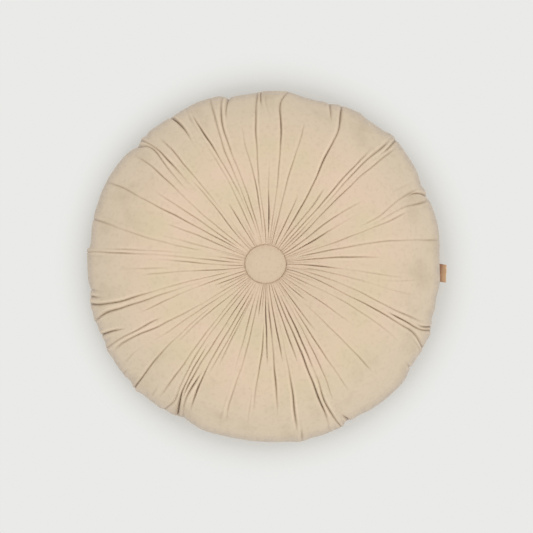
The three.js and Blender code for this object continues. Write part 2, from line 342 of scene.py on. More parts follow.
@dataclass(frozen=True)
class VelvetFinish:
    """Matt cotton velvet with a short pile.

    Attributes:
        warm: the cloth where its pile lies towards the light.
        cool: the cloth where its pile lies away from it.
        drawn: painted light on the cloth pulled tight round the button, which lifts the shade of its dimple,
            along with the paler tone of its flattened pile.
        rim: painted shade and a greyish painted sheen where the cloth slopes to the rim.
        edge: painted shade where it turns under, greyed like a grazing sheen.
        crease: painted shade between two walls of cloth, also the colour of the painted shade spots towards
            the rim and of the nap's darker mottles.
        crest: a painted highlight on the crests beside it.
        patches: lumps of warm and cool in a metre.
        patch_contrast: how sharply warm and cool part.
        rim_share: the most that shows of the rim's painted shade and sheen.
        shade_spots: spots in a metre where the painted shade towards the rim is a little darker, for the
            shade of its low rumples.
        shade_spot_share: how much darker.
        edge_shade_share: how much shows of the painted shade under the edge, and what a pucker's painted
            shade adds.
        nap: mottles in a metre.
        nap_share: how much darker they are.
        crest_highlight_share: the most that shows of the crests' painted highlight.
        crease_shade_share: the most that shows of the creases' painted shade.
        pile: tufts in a metre.
        weave: threads in a metre, under the pile.
        pile_shares: what the tufts and the threads give to the bump.
        pile_rise: how high the pile's bump stands, in metres.
        middle: the axis that the rim's small puckers run towards, in metres.
        puckers: how many of them fit in one radian of the rim.
        pucker_drift: how far they stray, in radians for each metre.
        pucker_rise: how high they stand, in metres.
    """

    warm: Colour = paint(213, 190, 168)
    cool: Colour = paint(207, 190, 162)
    drawn: Colour = paint(215, 194, 171)
    rim: Colour = paint(203, 188, 167)
    edge: Colour = paint(185, 172, 158)
    crease: Colour = paint(134, 107, 80)
    crest: Colour = paint(234, 214, 189)
    patches: float = 17.0
    patch_contrast: float = 3.5
    rim_share: float = 0.8
    shade_spots: float = 34.0
    shade_spot_share: float = 0.75
    edge_shade_share: tuple[float, float] = (0.1, 1.8)
    nap: float = 240.0
    nap_share: float = 0.5
    crest_highlight_share: float = 0.5
    crease_shade_share: float = 0.69
    pile: float = 1500.0
    weave: float = 420.0
    pile_shares: tuple[float, float] = (0.6, 0.4)
    pile_rise: float = 0.0003
    middle: tuple[float, float, float] = (0.0, 0.0, 0.0)
    puckers: float = 34.0
    pucker_drift: float = 1.6
    pucker_rise: float = 0.003

    def rim_puckers(self, bench: NodeBench, where: Signal) -> Signal:
        """Spread small puckers round the rim, which run towards the middle.

        Args:
            bench: the cloth's bench.
            where: the place on the object.

        Returns:
            Their height, from about 0.3 to 0.7.
        """

        def vector(operation: str, inputs: Mapping[Any, Any]) -> Signal:
            """Add a Vector Math node."""
            return bench.add("ShaderNodeVectorMath", {"operation": operation}, inputs)

        away = vector("SUBTRACT", {0: where, 1: self.middle})
        heading = vector("NORMALIZE", {0: vector("MULTIPLY", {0: away, 1: (1.0, 1.0, 0.0)})})
        drift = vector("SCALE", {0: where, "Scale": self.pucker_drift})
        return bench.noise(vector("ADD", {0: heading, 1: drift}), self.puckers, detail=3.0)

    def tone(self, bench: NodeBench, where: Signal, puckers: Signal) -> Signal:
        """Colour the cloth, with painted light round the button, painted shade and sheen towards the rim and
        under its edge, painted shade in the creases and painted highlight on their crests.

        Args:
            bench: the cloth's bench.
            where: the place on the object.
            puckers: the height of the rim's small puckers, which also varies the painted shade under the
                edge.

        Returns:
            Its colour.
        """
        drawn, rim, edge, crest, crease = (
            bench.mask(name) for name in ("drawn", "rim", "edge", "crest", "crease")
        )
        patch = (bench.noise(where, self.patches, detail=3.0) - 0.5) * self.patch_contrast + 0.5
        shade_spots = (bench.noise(where, self.shade_spots) - 0.5) * self.shade_spot_share
        nap = (bench.noise(where, self.nap, detail=4.0) - 0.5) * self.nap_share
        least, more = self.edge_shade_share
        tone = bench.blend(patch.held(), self.warm, self.cool)
        # Painted light round the button, painted shade and sheen towards the rim, painted shade spots,
        # painted shade under the edge, the nap's random mottles, painted highlight on the crests and painted
        # shade in the creases
        for share, colour in (
            (drawn, self.drawn),
            (rim * self.rim_share, self.rim),
            (rim * shade_spots, self.crease),
            (edge * (least + puckers * more), self.edge),
            (nap, self.crease),
            (crest * self.crest_highlight_share, self.crest),
            (crease * self.crease_shade_share, self.crease),
        ):
            tone = bench.blend(share.held(), tone, colour)
        return tone

    def material(self, name: str) -> bpy.types.Material:
        """Make the cloth.

        Args:
            name: the material's name.

        Returns:
            The material.
        """
        cloth = bpy.data.materials.new(name)
        bench = NodeBench(cloth)
        where = bench.add("ShaderNodeTexCoord", output="Object")
        puckers = self.rim_puckers(bench, where)
        tufts, threads = self.pile_shares
        pile = bench.noise(where, self.pile, detail=3.0) * tufts + bench.noise(where, self.weave) * threads
        relief = pile * (self.pile_rise / self.pucker_rise) + puckers * bench.mask("edge")
        bench.coat(
            {
                "Base Color": self.tone(bench, where, puckers),
                "Roughness": 0.94,
                "Specular IOR Level": 0.12,
                "Sheen Weight": 0.35,
                "Sheen Roughness": 0.45,
                "Sheen Tint": paint(250, 240, 228),
                "Normal": bench.bump(relief, self.pucker_rise),
            }
        )
        return cloth


@dataclass(frozen=True)
class TabFinish:
    """Smooth tan imitation leather, bare.

    Attributes:
        face: its usual tone.
        fold_tone: its paler tone over the fold.
        root: its darker tone in the seam's shade.
        even: the stretch of the usual tone, as shares of the way from the seam to the fold.
        blotches: uneven spots in a metre.
        blotch_share: how far they move the tone along that way.
        roughness: the least, and what a blotch adds.
        grain: pores in a metre.
        grain_rise: how deep the grain is, in metres.
    """

    face: Colour = paint(186, 149, 113)
    fold_tone: Colour = paint(226, 194, 158)
    root: Colour = paint(148, 105, 77)
    even: tuple[float, float] = (0.56, 0.8)
    blotches: float = 260.0
    blotch_share: float = 0.7
    roughness: tuple[float, float] = (0.48, 0.2)
    grain: float = 1400.0
    grain_rise: float = 0.00012

    def material(self, name: str) -> bpy.types.Material:
        """Make the leather.

        Args:
            name: the material's name.

        Returns:
            The material.
        """
        leather = bpy.data.materials.new(name)
        bench = NodeBench(leather)
        where = bench.add("ShaderNodeTexCoord", output="Object")
        blotch = bench.noise(where, self.blotches, detail=3.0)
        stops = [(0.0, self.root), *((share, self.face) for share in self.even), (1.0, self.fold_tone)]
        place = (bench.mask("along") + (blotch - 0.5) * self.blotch_share).held()
        pores = bench.add("ShaderNodeTexVoronoi", {}, {"Vector": where, "Scale": self.grain}, "Distance")
        least, more = self.roughness
        bench.coat(
            {
                "Base Color": bench.add("ShaderNodeValToRGB", {"stops": stops}, {"Fac": place}, "Color"),
                "Roughness": (least + blotch * more).held(),
                "Specular IOR Level": 0.4,
                "Normal": bench.bump(pores, self.grain_rise),
            }
        )
        return leather


@dataclass(frozen=True)
class FloorFinish:
    """A pale, evenly lit sheet, which takes a light and narrow shadow.

    Attributes:
        tone: its even tone.
        ground: the sheet's colour where the sky lights it, under the cushion's shadow.
        shaded: radii in metres from the object's middle, and how much of the sheet the sky lights there.
        reach: the radius in metres where the ramp of those ends.
    """

    tone: Colour = paint(234, 234, 232)
    ground: Colour = paint(220, 220, 218)
    shaded: tuple[tuple[float, float], ...] = (
        (0.19, 1.0), (0.209, 0.86), (0.218, 0.57), (0.227, 0.35), (0.239, 0.09), (0.25, 0.0),
    )
    reach: float = 0.4

    def material(self, name: str) -> bpy.types.Material:
        """Make the sheet.

        Args:
            name: the material's name.

        Returns:
            The material.
        """
        sheet = bpy.data.materials.new(name)
        bench = NodeBench(sheet)
        where = bench.add("ShaderNodeTexCoord", output="Object")
        away = bench.add("ShaderNodeVectorMath", {"operation": "LENGTH"}, {0: where}, "Value")
        lit = [(radius / self.reach, (share,) * 3) for radius, share in self.shaded]
        share = bench.add("ShaderNodeValToRGB", {"stops": lit}, {"Fac": away * (1 / self.reach)}, "Color")
        black = (0.0, 0.0, 0.0)
        bench.coat(
            {
                "Base Color": bench.blend(share, black, self.ground),
                "Emission Color": bench.blend(share, self.tone, black),
                "Emission Strength": 1.0,
                "Roughness": 1.0,
                "Specular IOR Level": 0.0,
            }
        )
        return sheet


@dataclass(frozen=True)
class Fold:
    """A crease pressed into a panel by its gathers.

    Attributes:
        turns: its angle at each of the STATIONS.
        press: how sharply it is pressed at each of the STRETCHES, from 0 to 12.
        start: the radius where it opens.
        end: the radius where it has run out.
        notch: how much further it draws in the rim.
        lap: how much higher its anticlockwise wall stands than the other one, from -2 to 2.
    """

    turns: tuple[float, ...]
    press: tuple[float, ...]
    start: float
    end: float
    notch: float = 0.0
    lap: int = 0


# Radii where a fold's angle is given, and those where its press is
STATIONS = np.array([30.0, 80.0, 135.0, 165.0, 185.0, 203.0])
STRETCHES = np.array([34.0, 54.0, 83.0, 127.0, 160.0, 188.0])

# The front's folds, anticlockwise from the right
FRONT_FOLDS = (
    Fold((7.6, 5.6, 3.4, 2.6, 2.2, 2.0), (2, 5, 6, 1, 0, 0), 14, 134),
    Fold((13.4, 12.5, 11.0, 9.6, 8.5, 7.8), (1, 6, 3, 3, 2, 3), 14, 202, 0.4),
    Fold((17.0, 18.0, 19.3, 20.3, 20.7, 20.6), (1, 2, 3, 2, 3, 0), 14, 174),
    Fold((19.2, 19.6, 21.2, 22.6, 21.9, 21.7), (0, 0, 0, 1, 2, 4), 128, 202),
    Fold((20.3, 20.4, 22.1, 24.9, 25.8, 22.4), (0, 0, 0, 0, 0, 7), 172, 226, 0.4, -1),
    Fold((21.5, 21.2, 23.1, 26.0, 26.5, 26.6), (0, 0, 0, 2, 3, 3), 106, 196),
    Fold((25.4, 28.2, 29.3, 29.6, 29.6, 29.0), (4, 10, 2, 0, 0, 2), 14, 192, 0, 1),
    Fold((31.4, 34.8, 33.4, 33.0, 32.8, 32.6), (5, 5, 4, 2, 0, 0), 14, 130, 0, -1),
    Fold((38.0, 42.0, 43.2, 42.5, 42.3, 42.0), (3, 4, 4, 4, 3, 4), 14, 198, 0.4, -1),
    Fold((41.0, 43.7, 44.7, 44.4, 43.6, 43.9), (0, 0, 0, 0, 1, 5), 172, 240, 0.6, 1),
    Fold((42.8, 45.2, 46.2, 46.1, 45.1, 45.6), (1, 3, 0, 4, 4, 8), 14, 196, 0, -2),
    Fold((47.9, 47.7, 48.3, 47.9, 47.9, 48.3), (3, 4, 4, 6, 3, 0), 18, 176),
    Fold((53.5, 51.7, 54.0, 54.3, 54.5, 54.5), (4, 3, 4, 2, 0, 0), 14, 110, 0, -2),
    Fold((58.4, 59.0, 61.3, 61.6, 63.3, 64.7), (2, 9, 5, 8, 6, 7), 14, 206, 0.5, 1),
    Fold((62.0, 62.4, 64.4, 65.0, 66.7, 69.0), (0, 0, 0, 0, 0, 4), 172, 216, 0.5),
    Fold((65.6, 65.4, 68.0, 69.0, 70.0, 71.0), (4, 6, 2, 0, 0, 0), 14, 88),
    Fold((75.2, 76.1, 75.0, 74.8, 74.8, 75.0), (4, 3, 3, 3, 2, 0), 14, 172),
    Fold((82.0, 82.2, 83.2, 84.4, 84.9, 81.9), (2, 3, 2, 4, 8, 5), 14, 206, 0, -1),
    Fold((86.0, 88.4, 88.0, 88.6, 90.2, 90.5), (2, 14, 2, 0, 0, 2), 14, 198, 0, 1),
    Fold((89.0, 91.0, 91.6, 91.6, 91.8, 91.8), (0, 0, 0, 0, 0, 5), 176, 212, 0.6),
    Fold((91.3, 94.9, 94.7, 94.1, 93.6, 92.9), (3, 3, 2, 4, 5, 5), 14, 206, 0, -1),
    Fold((96.6, 97.1, 100.0, 99.9, 99.6, 99.0), (1, 4, 5, 2, 1, 0), 24, 166, 0, 1),
    Fold((99.5, 101.5, 103.8, 105.4, 104.2, 102.6), (0, 0, 0, 0, 0, 4), 164, 232, 2.6, -1),
    Fold((102.2, 105.0, 107.4, 107.5, 106.0, 104.2), (2, 4, 3, 2, 7, 3), 14, 206, 0.4, -2),
    Fold((106.0, 108.6, 110.1, 109.6, 109.1, 108.4), (1, 4, 2, 3, 4, 3), 14, 206),
    Fold((109.2, 110.8, 114.1, 115.6, 116.2, 115.6), (0, 1, 2, 3, 9, 2), 44, 198, 0, -1),
    Fold((113.5, 113.9, 115.9, 117.2, 117.6, 117.4), (1, 4, 2, 2, 0, 2), 24, 200),
    Fold((121.8, 121.6, 119.0, 119.2, 119.4, 119.8), (4, 6, 1, 0, 0, 0), 14, 86, 0, -1),
    Fold((125.5, 124.5, 121.3, 121.1, 121.5, 123.4), (0, 0, 0, 0, 1, 8), 140, 212, 0.6, 1),
    Fold((129.8, 129.4, 129.4, 129.4, 130.2, 131.0), (0, 1, 1, 3, 4, 3), 14, 190, 0, -1),
    Fold((136.8, 132.0, 131.3, 131.6, 132.2, 133.6), (3, 4, 4, 1, 0, 0), 14, 130, 0, 1),
    Fold((139.5, 134.8, 133.4, 133.3, 133.8, 135.4), (0, 0, 0, 1, 6, 4), 110, 220, 0.4, -2),
    Fold((141.0, 138.5, 136.5, 135.0, 134.8, 138.3), (0, 0, 0, 2, 4, 4), 118, 222, 0.8, -1),
    Fold((143.5, 142.1, 140.1, 139.4, 139.9, 141.0), (2, 4, 2, 2, 5, 3), 18, 194, 0, 1),
    Fold((148.4, 146.8, 146.6, 146.8, 147.2, 147.6), (1, 5, 3, 3, 0, 0), 30, 152, 0, -1),
    Fold((151.4, 151.6, 151.9, 151.9, 152.1, 152.8), (2, 5, 4, 5, 2, 4), 18, 204),
    Fold((157.6, 157.0, 158.2, 158.8, 159.5, 160.0), (3, 4, 4, 0, 0, 0), 14, 130),
    Fold((163.0, 164.0, 164.6, 164.2, 163.8, 163.6), (2, 2, 2, 1, 0, 0), 18, 128),
    Fold((167.5, 168.0, 167.4, 166.1, 165.6, 165.3), (0, 0, 2, 2, 2, 3), 70, 208, 0.4),
    Fold((170.3, 171.7, 173.3, 174.1, 174.6, 174.9), (4, 1, 0, 2, 2, 0), 18, 204),
    Fold((176.2, 174.8, 175.0, 175.5, 175.8, 176.2), (2, 5, 2, 1, 4, 3), 18, 214, 0, -2),
    Fold((182.2, 178.3, 177.0, 177.3, 177.2, 177.1), (3, 2, 4, 0, 0, 1), 14, 215),
    Fold((184.0, 182.4, 181.7, 181.7, 181.8, 182.0), (0, 0, 0, 2, 1, 0), 100, 160),
    Fold((187.6, 184.9, 184.6, 184.8, 185.0, 185.4), (3, 5, 2, 2, 0, 0), 14, 142),
    Fold((188.9, 188.5, 189.0, 189.0, 189.4, 187.8), (0, 0, 0, 0, 0, 1), 182, 240, 2.2, 1),
    Fold((190.0, 190.3, 191.2, 191.4, 191.3, 190.3), (0, 0, 0, 0, 0, 7), 182, 222),
    Fold((191.2, 192.1, 193.4, 194.2, 193.7, 192.2), (2, 3, 2, 2, 6, 8), 36, 212, 0.4, -2),
    Fold((193.6, 194.9, 196.3, 196.6, 196.9, 198.7), (0, 0, 1, 3, 6, 6), 56, 206, 0, -2),
    Fold((196.6, 197.8, 200.4, 200.4, 200.2, 200.6), (4, 4, 1, 3, 2, 0), 14, 154),
    Fold((203.2, 201.3, 202.6, 202.4, 202.0, 201.6), (5, 4, 0, 0, 0, 0), 14, 66),
    Fold((206.0, 205.0, 204.8, 204.6, 203.4, 202.9), (0, 0, 0, 0, 0, 9), 168, 218, 0.3, -1),
    Fold((208.5, 208.0, 206.8, 206.9, 206.9, 208.1), (0, 0, 0, 4, 5, 3), 128, 210, 0.3),
    Fold((211.3, 211.2, 209.9, 208.6, 209.0, 211.0), (2, 3, 1, 4, 5, 5), 14, 196, 0, 1),
    Fold((216.6, 214.3, 214.4, 213.4, 214.4, 216.0), (3, 1, 3, 2, 0, 2), 14, 198),
    Fold((217.3, 215.8, 216.7, 216.5, 217.0, 217.4), (0, 0, 0, 0, 0, 4), 188, 208),
    Fold((218.0, 217.4, 219.3, 220.8, 222.1, 223.4), (0, 0, 2, 2, 4, 7), 70, 212, 0.3, -2),
    Fold((221.5, 219.8, 221.2, 222.6, 223.8, 225.0), (2, 3, 3, 2, 0, 0), 14, 132, 0, -1),
    Fold((222.9, 223.6, 225.5, 226.6, 228.4, 228.8), (0, 0, 0, 0, 0, 2), 176, 202),
    Fold((224.2, 227.5, 229.9, 230.7, 231.2, 232.0), (2, 3, 2, 3, 4, 2), 14, 196, 0, -2),
    Fold((229.2, 230.2, 232.5, 234.7, 236.0, 234.4), (2, 4, 2, 3, 3, 3), 14, 210, 0.4),
    Fold((231.6, 233.0, 234.6, 236.0, 237.9, 239.9), (0, 0, 0, 4, 6, 10), 106, 212, 0.5, -1),
    Fold((234.7, 235.7, 236.5, 237.2, 238.5, 240.9), (2, 5, 3, 4, 6, 0), 14, 182),
    Fold((237.2, 238.0, 239.0, 238.9, 239.6, 242.1), (0, 0, 0, 1, 10, 1), 138, 232, 2.0, 1),
    Fold((240.8, 240.1, 240.2, 241.4, 242.6, 244.8), (2, 5, 4, 3, 9, 0), 14, 204, 0, 1),
    Fold((245.2, 243.4, 242.2, 243.0, 244.4, 247.0), (1, 3, 4, 2, 0, 0), 20, 142),
    Fold((246.6, 245.2, 244.9, 245.6, 246.4, 248.4), (3, 2, 3, 2, 0, 0), 30, 128, 0, 2),
    Fold((250.5, 253.0, 253.3, 253.3, 253.4, 253.6), (2, 4, 3, 0, 1, 1), 18, 192),
    Fold((256.0, 257.2, 255.7, 255.1, 255.7, 256.0), (1, 4, 3, 2, 3, 1), 14, 186),
    Fold((260.8, 261.2, 260.0, 260.0, 260.0, 260.0), (3, 10, 2, 0, 0, 0), 14, 60),
    Fold((264.5, 264.0, 263.4, 263.3, 263.3, 263.2), (0, 0, 0, 0, 2, 1), 134, 184),
    Fold((266.6, 267.4, 265.3, 264.8, 264.8, 264.8), (0, 0, 5, 4, 1, 0), 60, 170, 0, -1),
    Fold((268.2, 270.1, 270.6, 270.6, 270.6, 270.6), (3, 12, 7, 2, 0, 0), 14, 114),
    Fold((272.6, 274.3, 274.5, 274.2, 273.8, 273.6), (0, 8, 2, 7, 2, 0), 18, 174, 0, 1),
    Fold((277.2, 279.0, 279.6, 279.0, 278.8, 278.6), (3, 7, 7, 0, 0, 0), 14, 112),
    Fold((281.4, 282.5, 281.7, 281.0, 280.5, 280.4), (1, 1, 1, 3, 11, 0), 30, 200, 0, 1),
    Fold((282.6, 284.5, 284.5, 283.5, 282.1, 281.3), (0, 0, 0, 0, 0, 4), 178, 206),
    Fold((283.8, 286.8, 287.8, 287.2, 287.0, 286.8), (3, 7, 6, 0, 0, 0), 14, 122),
    Fold((288.8, 291.2, 291.6, 291.3, 291.5, 290.4), (4, 5, 8, 9, 11, 2), 18, 208, 0.2, 1),
    Fold((294.2, 294.9, 294.1, 293.1, 293.9, 294.9), (1, 5, 12, 1, 7, 5), 14, 216, 0, 1),
    Fold((299.4, 299.0, 297.6, 296.4, 295.4, 296.4), (2, 1, 3, 4, 2, 0), 14, 174),
    Fold((301.0, 300.6, 299.4, 297.6, 296.6, 298.0), (0, 0, 0, 0, 0, 8), 186, 240, 0.8, -1),
    Fold((303.8, 302.4, 302.9, 303.0, 303.2, 303.4), (2, 1, 6, 3, 2, 0), 14, 174),
    Fold((305.8, 306.2, 307.0, 307.4, 307.5, 307.5), (3, 7, 2, 0, 0, 0), 14, 96),
    Fold((312.5, 315.1, 315.0, 314.8, 314.8, 314.8), (0, 1, 2, 3, 3, 0), 50, 170),
    Fold((315.8, 319.0, 320.0, 320.0, 320.0, 320.0), (3, 5, 2, 0, 0, 0), 14, 62),
    Fold((324.5, 325.7, 324.5, 323.6, 323.2, 323.0), (3, 3, 3, 1, 0, 0), 18, 118),
    Fold((328.0, 328.6, 326.8, 325.8, 325.0, 324.4), (0, 0, 0, 0, 0, 8), 190, 218, 0.5),
    Fold((335.3, 335.1, 332.3, 330.0, 328.2, 327.0), (4, 2, 2, 3, 1, 0), 18, 180),
    Fold((341.0, 338.0, 334.8, 333.2, 332.9, 329.6), (0, 0, 0, 0, 0, 2), 178, 208),
    Fold((347.2, 340.7, 337.3, 335.9, 334.6, 330.8), (5, 5, 2, 6, 5, 4), 14, 212, 0.4, -1),
    Fold((349.0, 343.0, 339.0, 337.9, 337.1, 338.2), (0, 0, 0, 0, 8, 6), 142, 214),
    Fold((350.3, 344.6, 340.2, 339.0, 338.2, 339.7), (0, 0, 0, 0, 0, 8), 178, 214),
    Fold((351.7, 346.2, 341.5, 340.1, 339.8, 341.0), (1, 3, 2, 3, 4, 2), 24, 194, 0, 1),
    Fold((355.8, 352.2, 348.9, 348.4, 348.2, 348.0), (1, 4, 2, 1, 1, 0), 36, 178),
    Fold((358.0, 354.5, 352.5, 353.9, 355.0, 355.4), (0, 0, 0, 1, 1, 0), 124, 180),
    Fold((360.3, 357.0, 354.8, 355.2, 356.5, 357.0), (4, 8, 1, 2, 1, 0), 14, 162),
)


class Gathers:
    """All the folds of one panel, in their order round the button.

    Attributes:
        sharpness: the depth that one step of press gives.
        fade: how long a fold takes to open and to run out.
        lap_step: how much higher one wall stands for one step of lap, as a share of the depth.
        lap_spread: how much that differs by chance.
        wander: a fold's two small waves, their size in degrees and their length.
        lively: how much the depth rises and falls along a fold, and over what length.
    """

    sharpness = 0.5
    fade = 16.0
    lap_step = 0.15
    lap_spread = 0.1
    wander = ((0.1, 11), (0.07, 5))
    lively = (0.18, 9)

    def __init__(self, folds: Sequence[Fold], seed: int) -> None:
        """Keep the folds' columns.

        Args:
            folds: the folds, anticlockwise.
            seed: of their small differences.
        """
        self.turns = np.array([fold.turns for fold in folds])
        self.press = np.array([fold.press for fold in folds])
        self.start, self.end, self.notch = (
            np.array([getattr(fold, name) for fold in folds], float) for name in ("start", "end", "notch")
        )
        draw = np.random.default_rng(seed)
        self.phase = draw.uniform(0, 2 * math.pi, (3, len(folds)))
        spread = draw.uniform(-self.lap_spread, self.lap_spread, len(folds))
        self.lap = np.array([fold.lap for fold in folds]) * self.lap_step + spread

    def angles(self, radii: np.ndarray) -> np.ndarray:
        """Follow every fold.

        Args:
            radii: a radius for each ring.

        Returns:
            Angles in degrees, rings by folds, eased from station to station.
        """
        eased = follow(STATIONS, self.turns, radii).T
        waves = zip(self.wander, self.phase)
        return eased + sum(size * np.sin(radii[:, None] / length + phase) for (size, length), phase in waves)

    def depths(self, radii: np.ndarray) -> np.ndarray:
        """Measure every fold.

        Args:
            radii: a radius for each ring.

        Returns:
            Depths, rings by folds, without the rim's notches.
        """
        place = radii[:, None]
        press = np.stack([np.interp(radii, STRETCHES, pressed) for pressed in self.press], axis=1)
        opening = smoothstep((place - self.start) / self.fade)
        closing = smoothstep((self.end - place) / self.fade)
        share, length = self.lively
        lively = 1 + share * np.sin(place / length + self.phase[2])
        return self.sharpness * press * opening * closing * lively


@dataclass(frozen=True)
class Draw:
    """How the stitches pull the front button and the cloth round it out of true.

    Attributes:
        stretch: how much wider and longer it is.
        shift: how far it sits from the axis.
        reach: the radius where the pull on the cloth begins.
        fade: how far inside that it is full.
    """

    stretch: tuple[float, float]
    shift: tuple[float, float]
    reach: float = 36.0
    fade: float = 12.0


BUTTON_DRAW = Draw((0.004, -0.058), (-0.95, 0.5))


# The rim's reach from the button's axis, by its angle
RIM_REACH = (
    (0, 196.5), (4, 196.8), (8, 198.5), (12, 199.5), (17, 199.5), (20.5, 199.0), (22.3, 198.2),
    (24.5, 199.2), (27, 197.5), (29, 199.0), (32, 201.0), (36, 202.0), (40, 203.0), (44, 205.0),
    (46.5, 204.5), (48.5, 202.0), (51, 201.0), (56, 200.5), (58, 202.0), (61, 201.0), (64.5, 200.0),
    (67, 197.5), (70, 196.0), (73, 194.5), (77.5, 194.5), (80, 196.0), (83, 198.0), (86, 197.5),
    (90, 197.0), (92, 197.0), (93.5, 195.5), (95, 194.5), (100, 194.5), (102.6, 195.0), (104, 197.2),
    (105.5, 198.5), (109, 199.5), (114, 200.0), (120, 199.0), (123.5, 199.8), (127, 199.8),
    (131.5, 201.0), (133, 199.5), (134.8, 201.8), (137, 198.8), (139, 200.0), (141.5, 202.0),
    (146, 203.5), (153, 204.5), (160, 203.8), (166, 203.5), (169, 202.5), (172, 201.0), (174.4, 201.5),
    (175.4, 204.5), (179, 203.5), (185, 203.0), (188.2, 202.8), (190.5, 204.0), (193, 206.0),
    (196, 204.2), (198, 205.5), (200, 203.5), (203.5, 205.0), (205.5, 202.8), (207.8, 206.0),
    (211, 204.5), (218, 204.8), (221, 203.0), (223.4, 207.2), (226, 204.0), (231, 203.0),
    (234.5, 202.5), (236.5, 201.0), (240, 200.4), (242.2, 199.0), (244.5, 199.5), (249, 201.5),
    (254, 200.8), (260, 200.5), (268, 201.2), (274, 202.0), (278, 203.2), (281, 205.0), (284, 203.5),
    (289, 203.8), (293, 203.2), (295.2, 203.8), (296.4, 200.3), (299, 201.8), (301.5, 200.5),
    (305, 202.5), (309, 203.5), (315, 204.5), (320, 204.5), (323, 202.5), (328, 201.0), (331.5, 202.5),
    (333.5, 201.2), (337.5, 202.0), (339.5, 200.5), (342, 197.2), (345, 197.8), (348.5, 196.5),
    (352, 197.4), (354.5, 197.8), (357.5, 196.9),
)

# The rim seam over or under its level, at even steps round the rim
RIM_SEAM = (
    0.5, -1.0, -2.0, 0.0, 1.5, 0.5, -1.0, -0.5, 1.0, 2.0, 0.5, -1.5,
    -1.0, 0.5, 1.5, 0.0, -2.0, -1.0, 0.5, 1.5, 1.0, -0.5, -1.5, 0.0,
)


def round_rim(places: Sequence[float], values: Sequence[float], angles: np.ndarray) -> np.ndarray:
    """Follow a closed curve round the rim.

    Args:
        places: the angles of its points, rising from 0.
        values: their values.
        angles: where to read it.

    Returns:
        Its value at each angle.
    """
    turns = np.concatenate([np.array(places) + turn for turn in (-360, 0, 360)])
    return follow(turns, np.tile(values, 3), np.mod(angles, 360))


def rim_reach(angles: np.ndarray) -> np.ndarray:
    """Read the rim's reach."""
    return round_rim(*zip(*RIM_REACH), angles)


def rim_seam(angles: np.ndarray) -> np.ndarray:
    """Read the rim seam's level."""
    return round_rim(np.arange(len(RIM_SEAM)) * (360 / len(RIM_SEAM)), RIM_SEAM, angles)


def ring_gaps(creases: np.ndarray) -> np.ndarray:
    """Measure the angle from each fold to the next one, anticlockwise.

    Args:
        creases: the folds' angles, rings by folds.

    Returns:
        The angles between them, in the same order.
    """
    width = np.roll(creases, -1, axis=1) - creases
    width[:, -1] += 360
    return width


def along_ring(angles: np.ndarray, turn: "np.ndarray | float", radii: np.ndarray) -> np.ndarray:
    """Measure how far points lie anticlockwise of an angle, along their rings.

    Args:
        angles: the points' angles, rings by columns.
        turn: the angle, for all the rings or for each.
        radii: of the rings.

    Returns:
        The distances in millimetres.
    """
    return np.radians(np.mod(angles - turn + 180, 360) - 180) * radii[:, None]


@dataclass
class FaceSection:
    """The section of one face, from its pocket under the button out to the rim seam.

    Attributes:
        side: which face it is.
        rise: its crown over the seam.
        shares: the ends of its stretches, as shares of the way from button to seam, and their rings.
        rim_radius: of an even rim.
        crown_radius: where the face stands highest.
        button_radius: where the cloth goes under the button.
        dimple_depth: how deep the button is drawn in.
        dimple_power: how steeply it is: 1 is a cone.
        fullness_out: the power of the rim's rounded section outwards: 1 is an ellipse.
        fullness_up: the same upwards.
        groove_depth: how far the cloth is drawn in along the seam.
        groove_width: how far from the seam.
        pocket: radii of the rings under the button, and their heights from the cloth's edge.
        start: the share where the first ring outside the pocket stands.
        radii: of its rings.
        heights: of its rings over the seam.
        out: how far each ring's cloth faces outwards.
        up: how far it faces up.
    """

    side: Side
    rise: float
    shares: Sequence[tuple[float, int]]
    rim_radius: float = 200.6
    crown_radius: float = 108.0
    button_radius: float = 23.4
    dimple_depth: float = 27.0
    dimple_power: float = 2.1
    fullness_out: float = 0.94
    fullness_up: float = 0.96
    groove_depth: float = 3.0
    groove_width: float = 2.6
    pocket: Sequence[tuple[float, float]] = ((17.5, -5.0), (22.4, -2.0), (23.1, -1.1), (23.9, -0.4))
    start: float = 0.01
    radii: np.ndarray = field(init=False)
    heights: np.ndarray = field(init=False)
    out: np.ndarray = field(init=False)
    up: np.ndarray = field(init=False)

    def __post_init__(self) -> None:
        """Work out the rings."""
        stops = [self.start]
        for end, count in self.shares:
            stops.extend(np.linspace(stops[-1], end, count + 1)[1:])
        shares = np.array(stops)
        radii, heights = self.line(shares)
        step = 0.004
        inner = self.line(np.maximum(shares - step, 0))
        outer = self.line(np.minimum(shares + step, 1))
        run = outer[0] - inner[0]
        fall = inner[1] - outer[1]
        length = np.hypot(run, fall)
        edge = self.line(np.zeros(1))[1][0]
        pocket = np.array(self.pocket)
        still = np.zeros(len(pocket))
        self.radii = np.concatenate([pocket[:, 0], radii])
        self.heights = np.concatenate([edge + pocket[:, 1], heights])
        self.out = np.concatenate([still, fall / length])
        self.up = np.concatenate([still, run / length])
        self.out[-1], self.up[-1] = 1.0, 0.0

    def line(self, shares: np.ndarray) -> tuple[np.ndarray, np.ndarray]:
        """Follow the section.

        Args:
            shares: of the way from the button's edge, 0, by the crown, 0.5, to the seam, 1.

        Returns:
            Radii, and heights over the seam.
        """
        inward = np.maximum(1 - shares * 2, 0)
        inner_radius = self.crown_radius - (self.crown_radius - self.button_radius) * inward
        inner_height = self.rise - self.dimple_depth * inward**self.dimple_power
        turn = np.maximum(shares - 0.5, 0) * math.pi
        height = self.rise * np.maximum(np.cos(turn), 0) ** self.fullness_up
        out = (self.rim_radius - self.crown_radius) * np.sin(turn) ** self.fullness_out
        groove = self.groove_depth * np.exp(-height / self.groove_width)
        inner = shares <= 0.5
        return (
            np.where(inner, inner_radius, self.crown_radius + out - groove),
            np.where(inner, inner_height, height),
        )


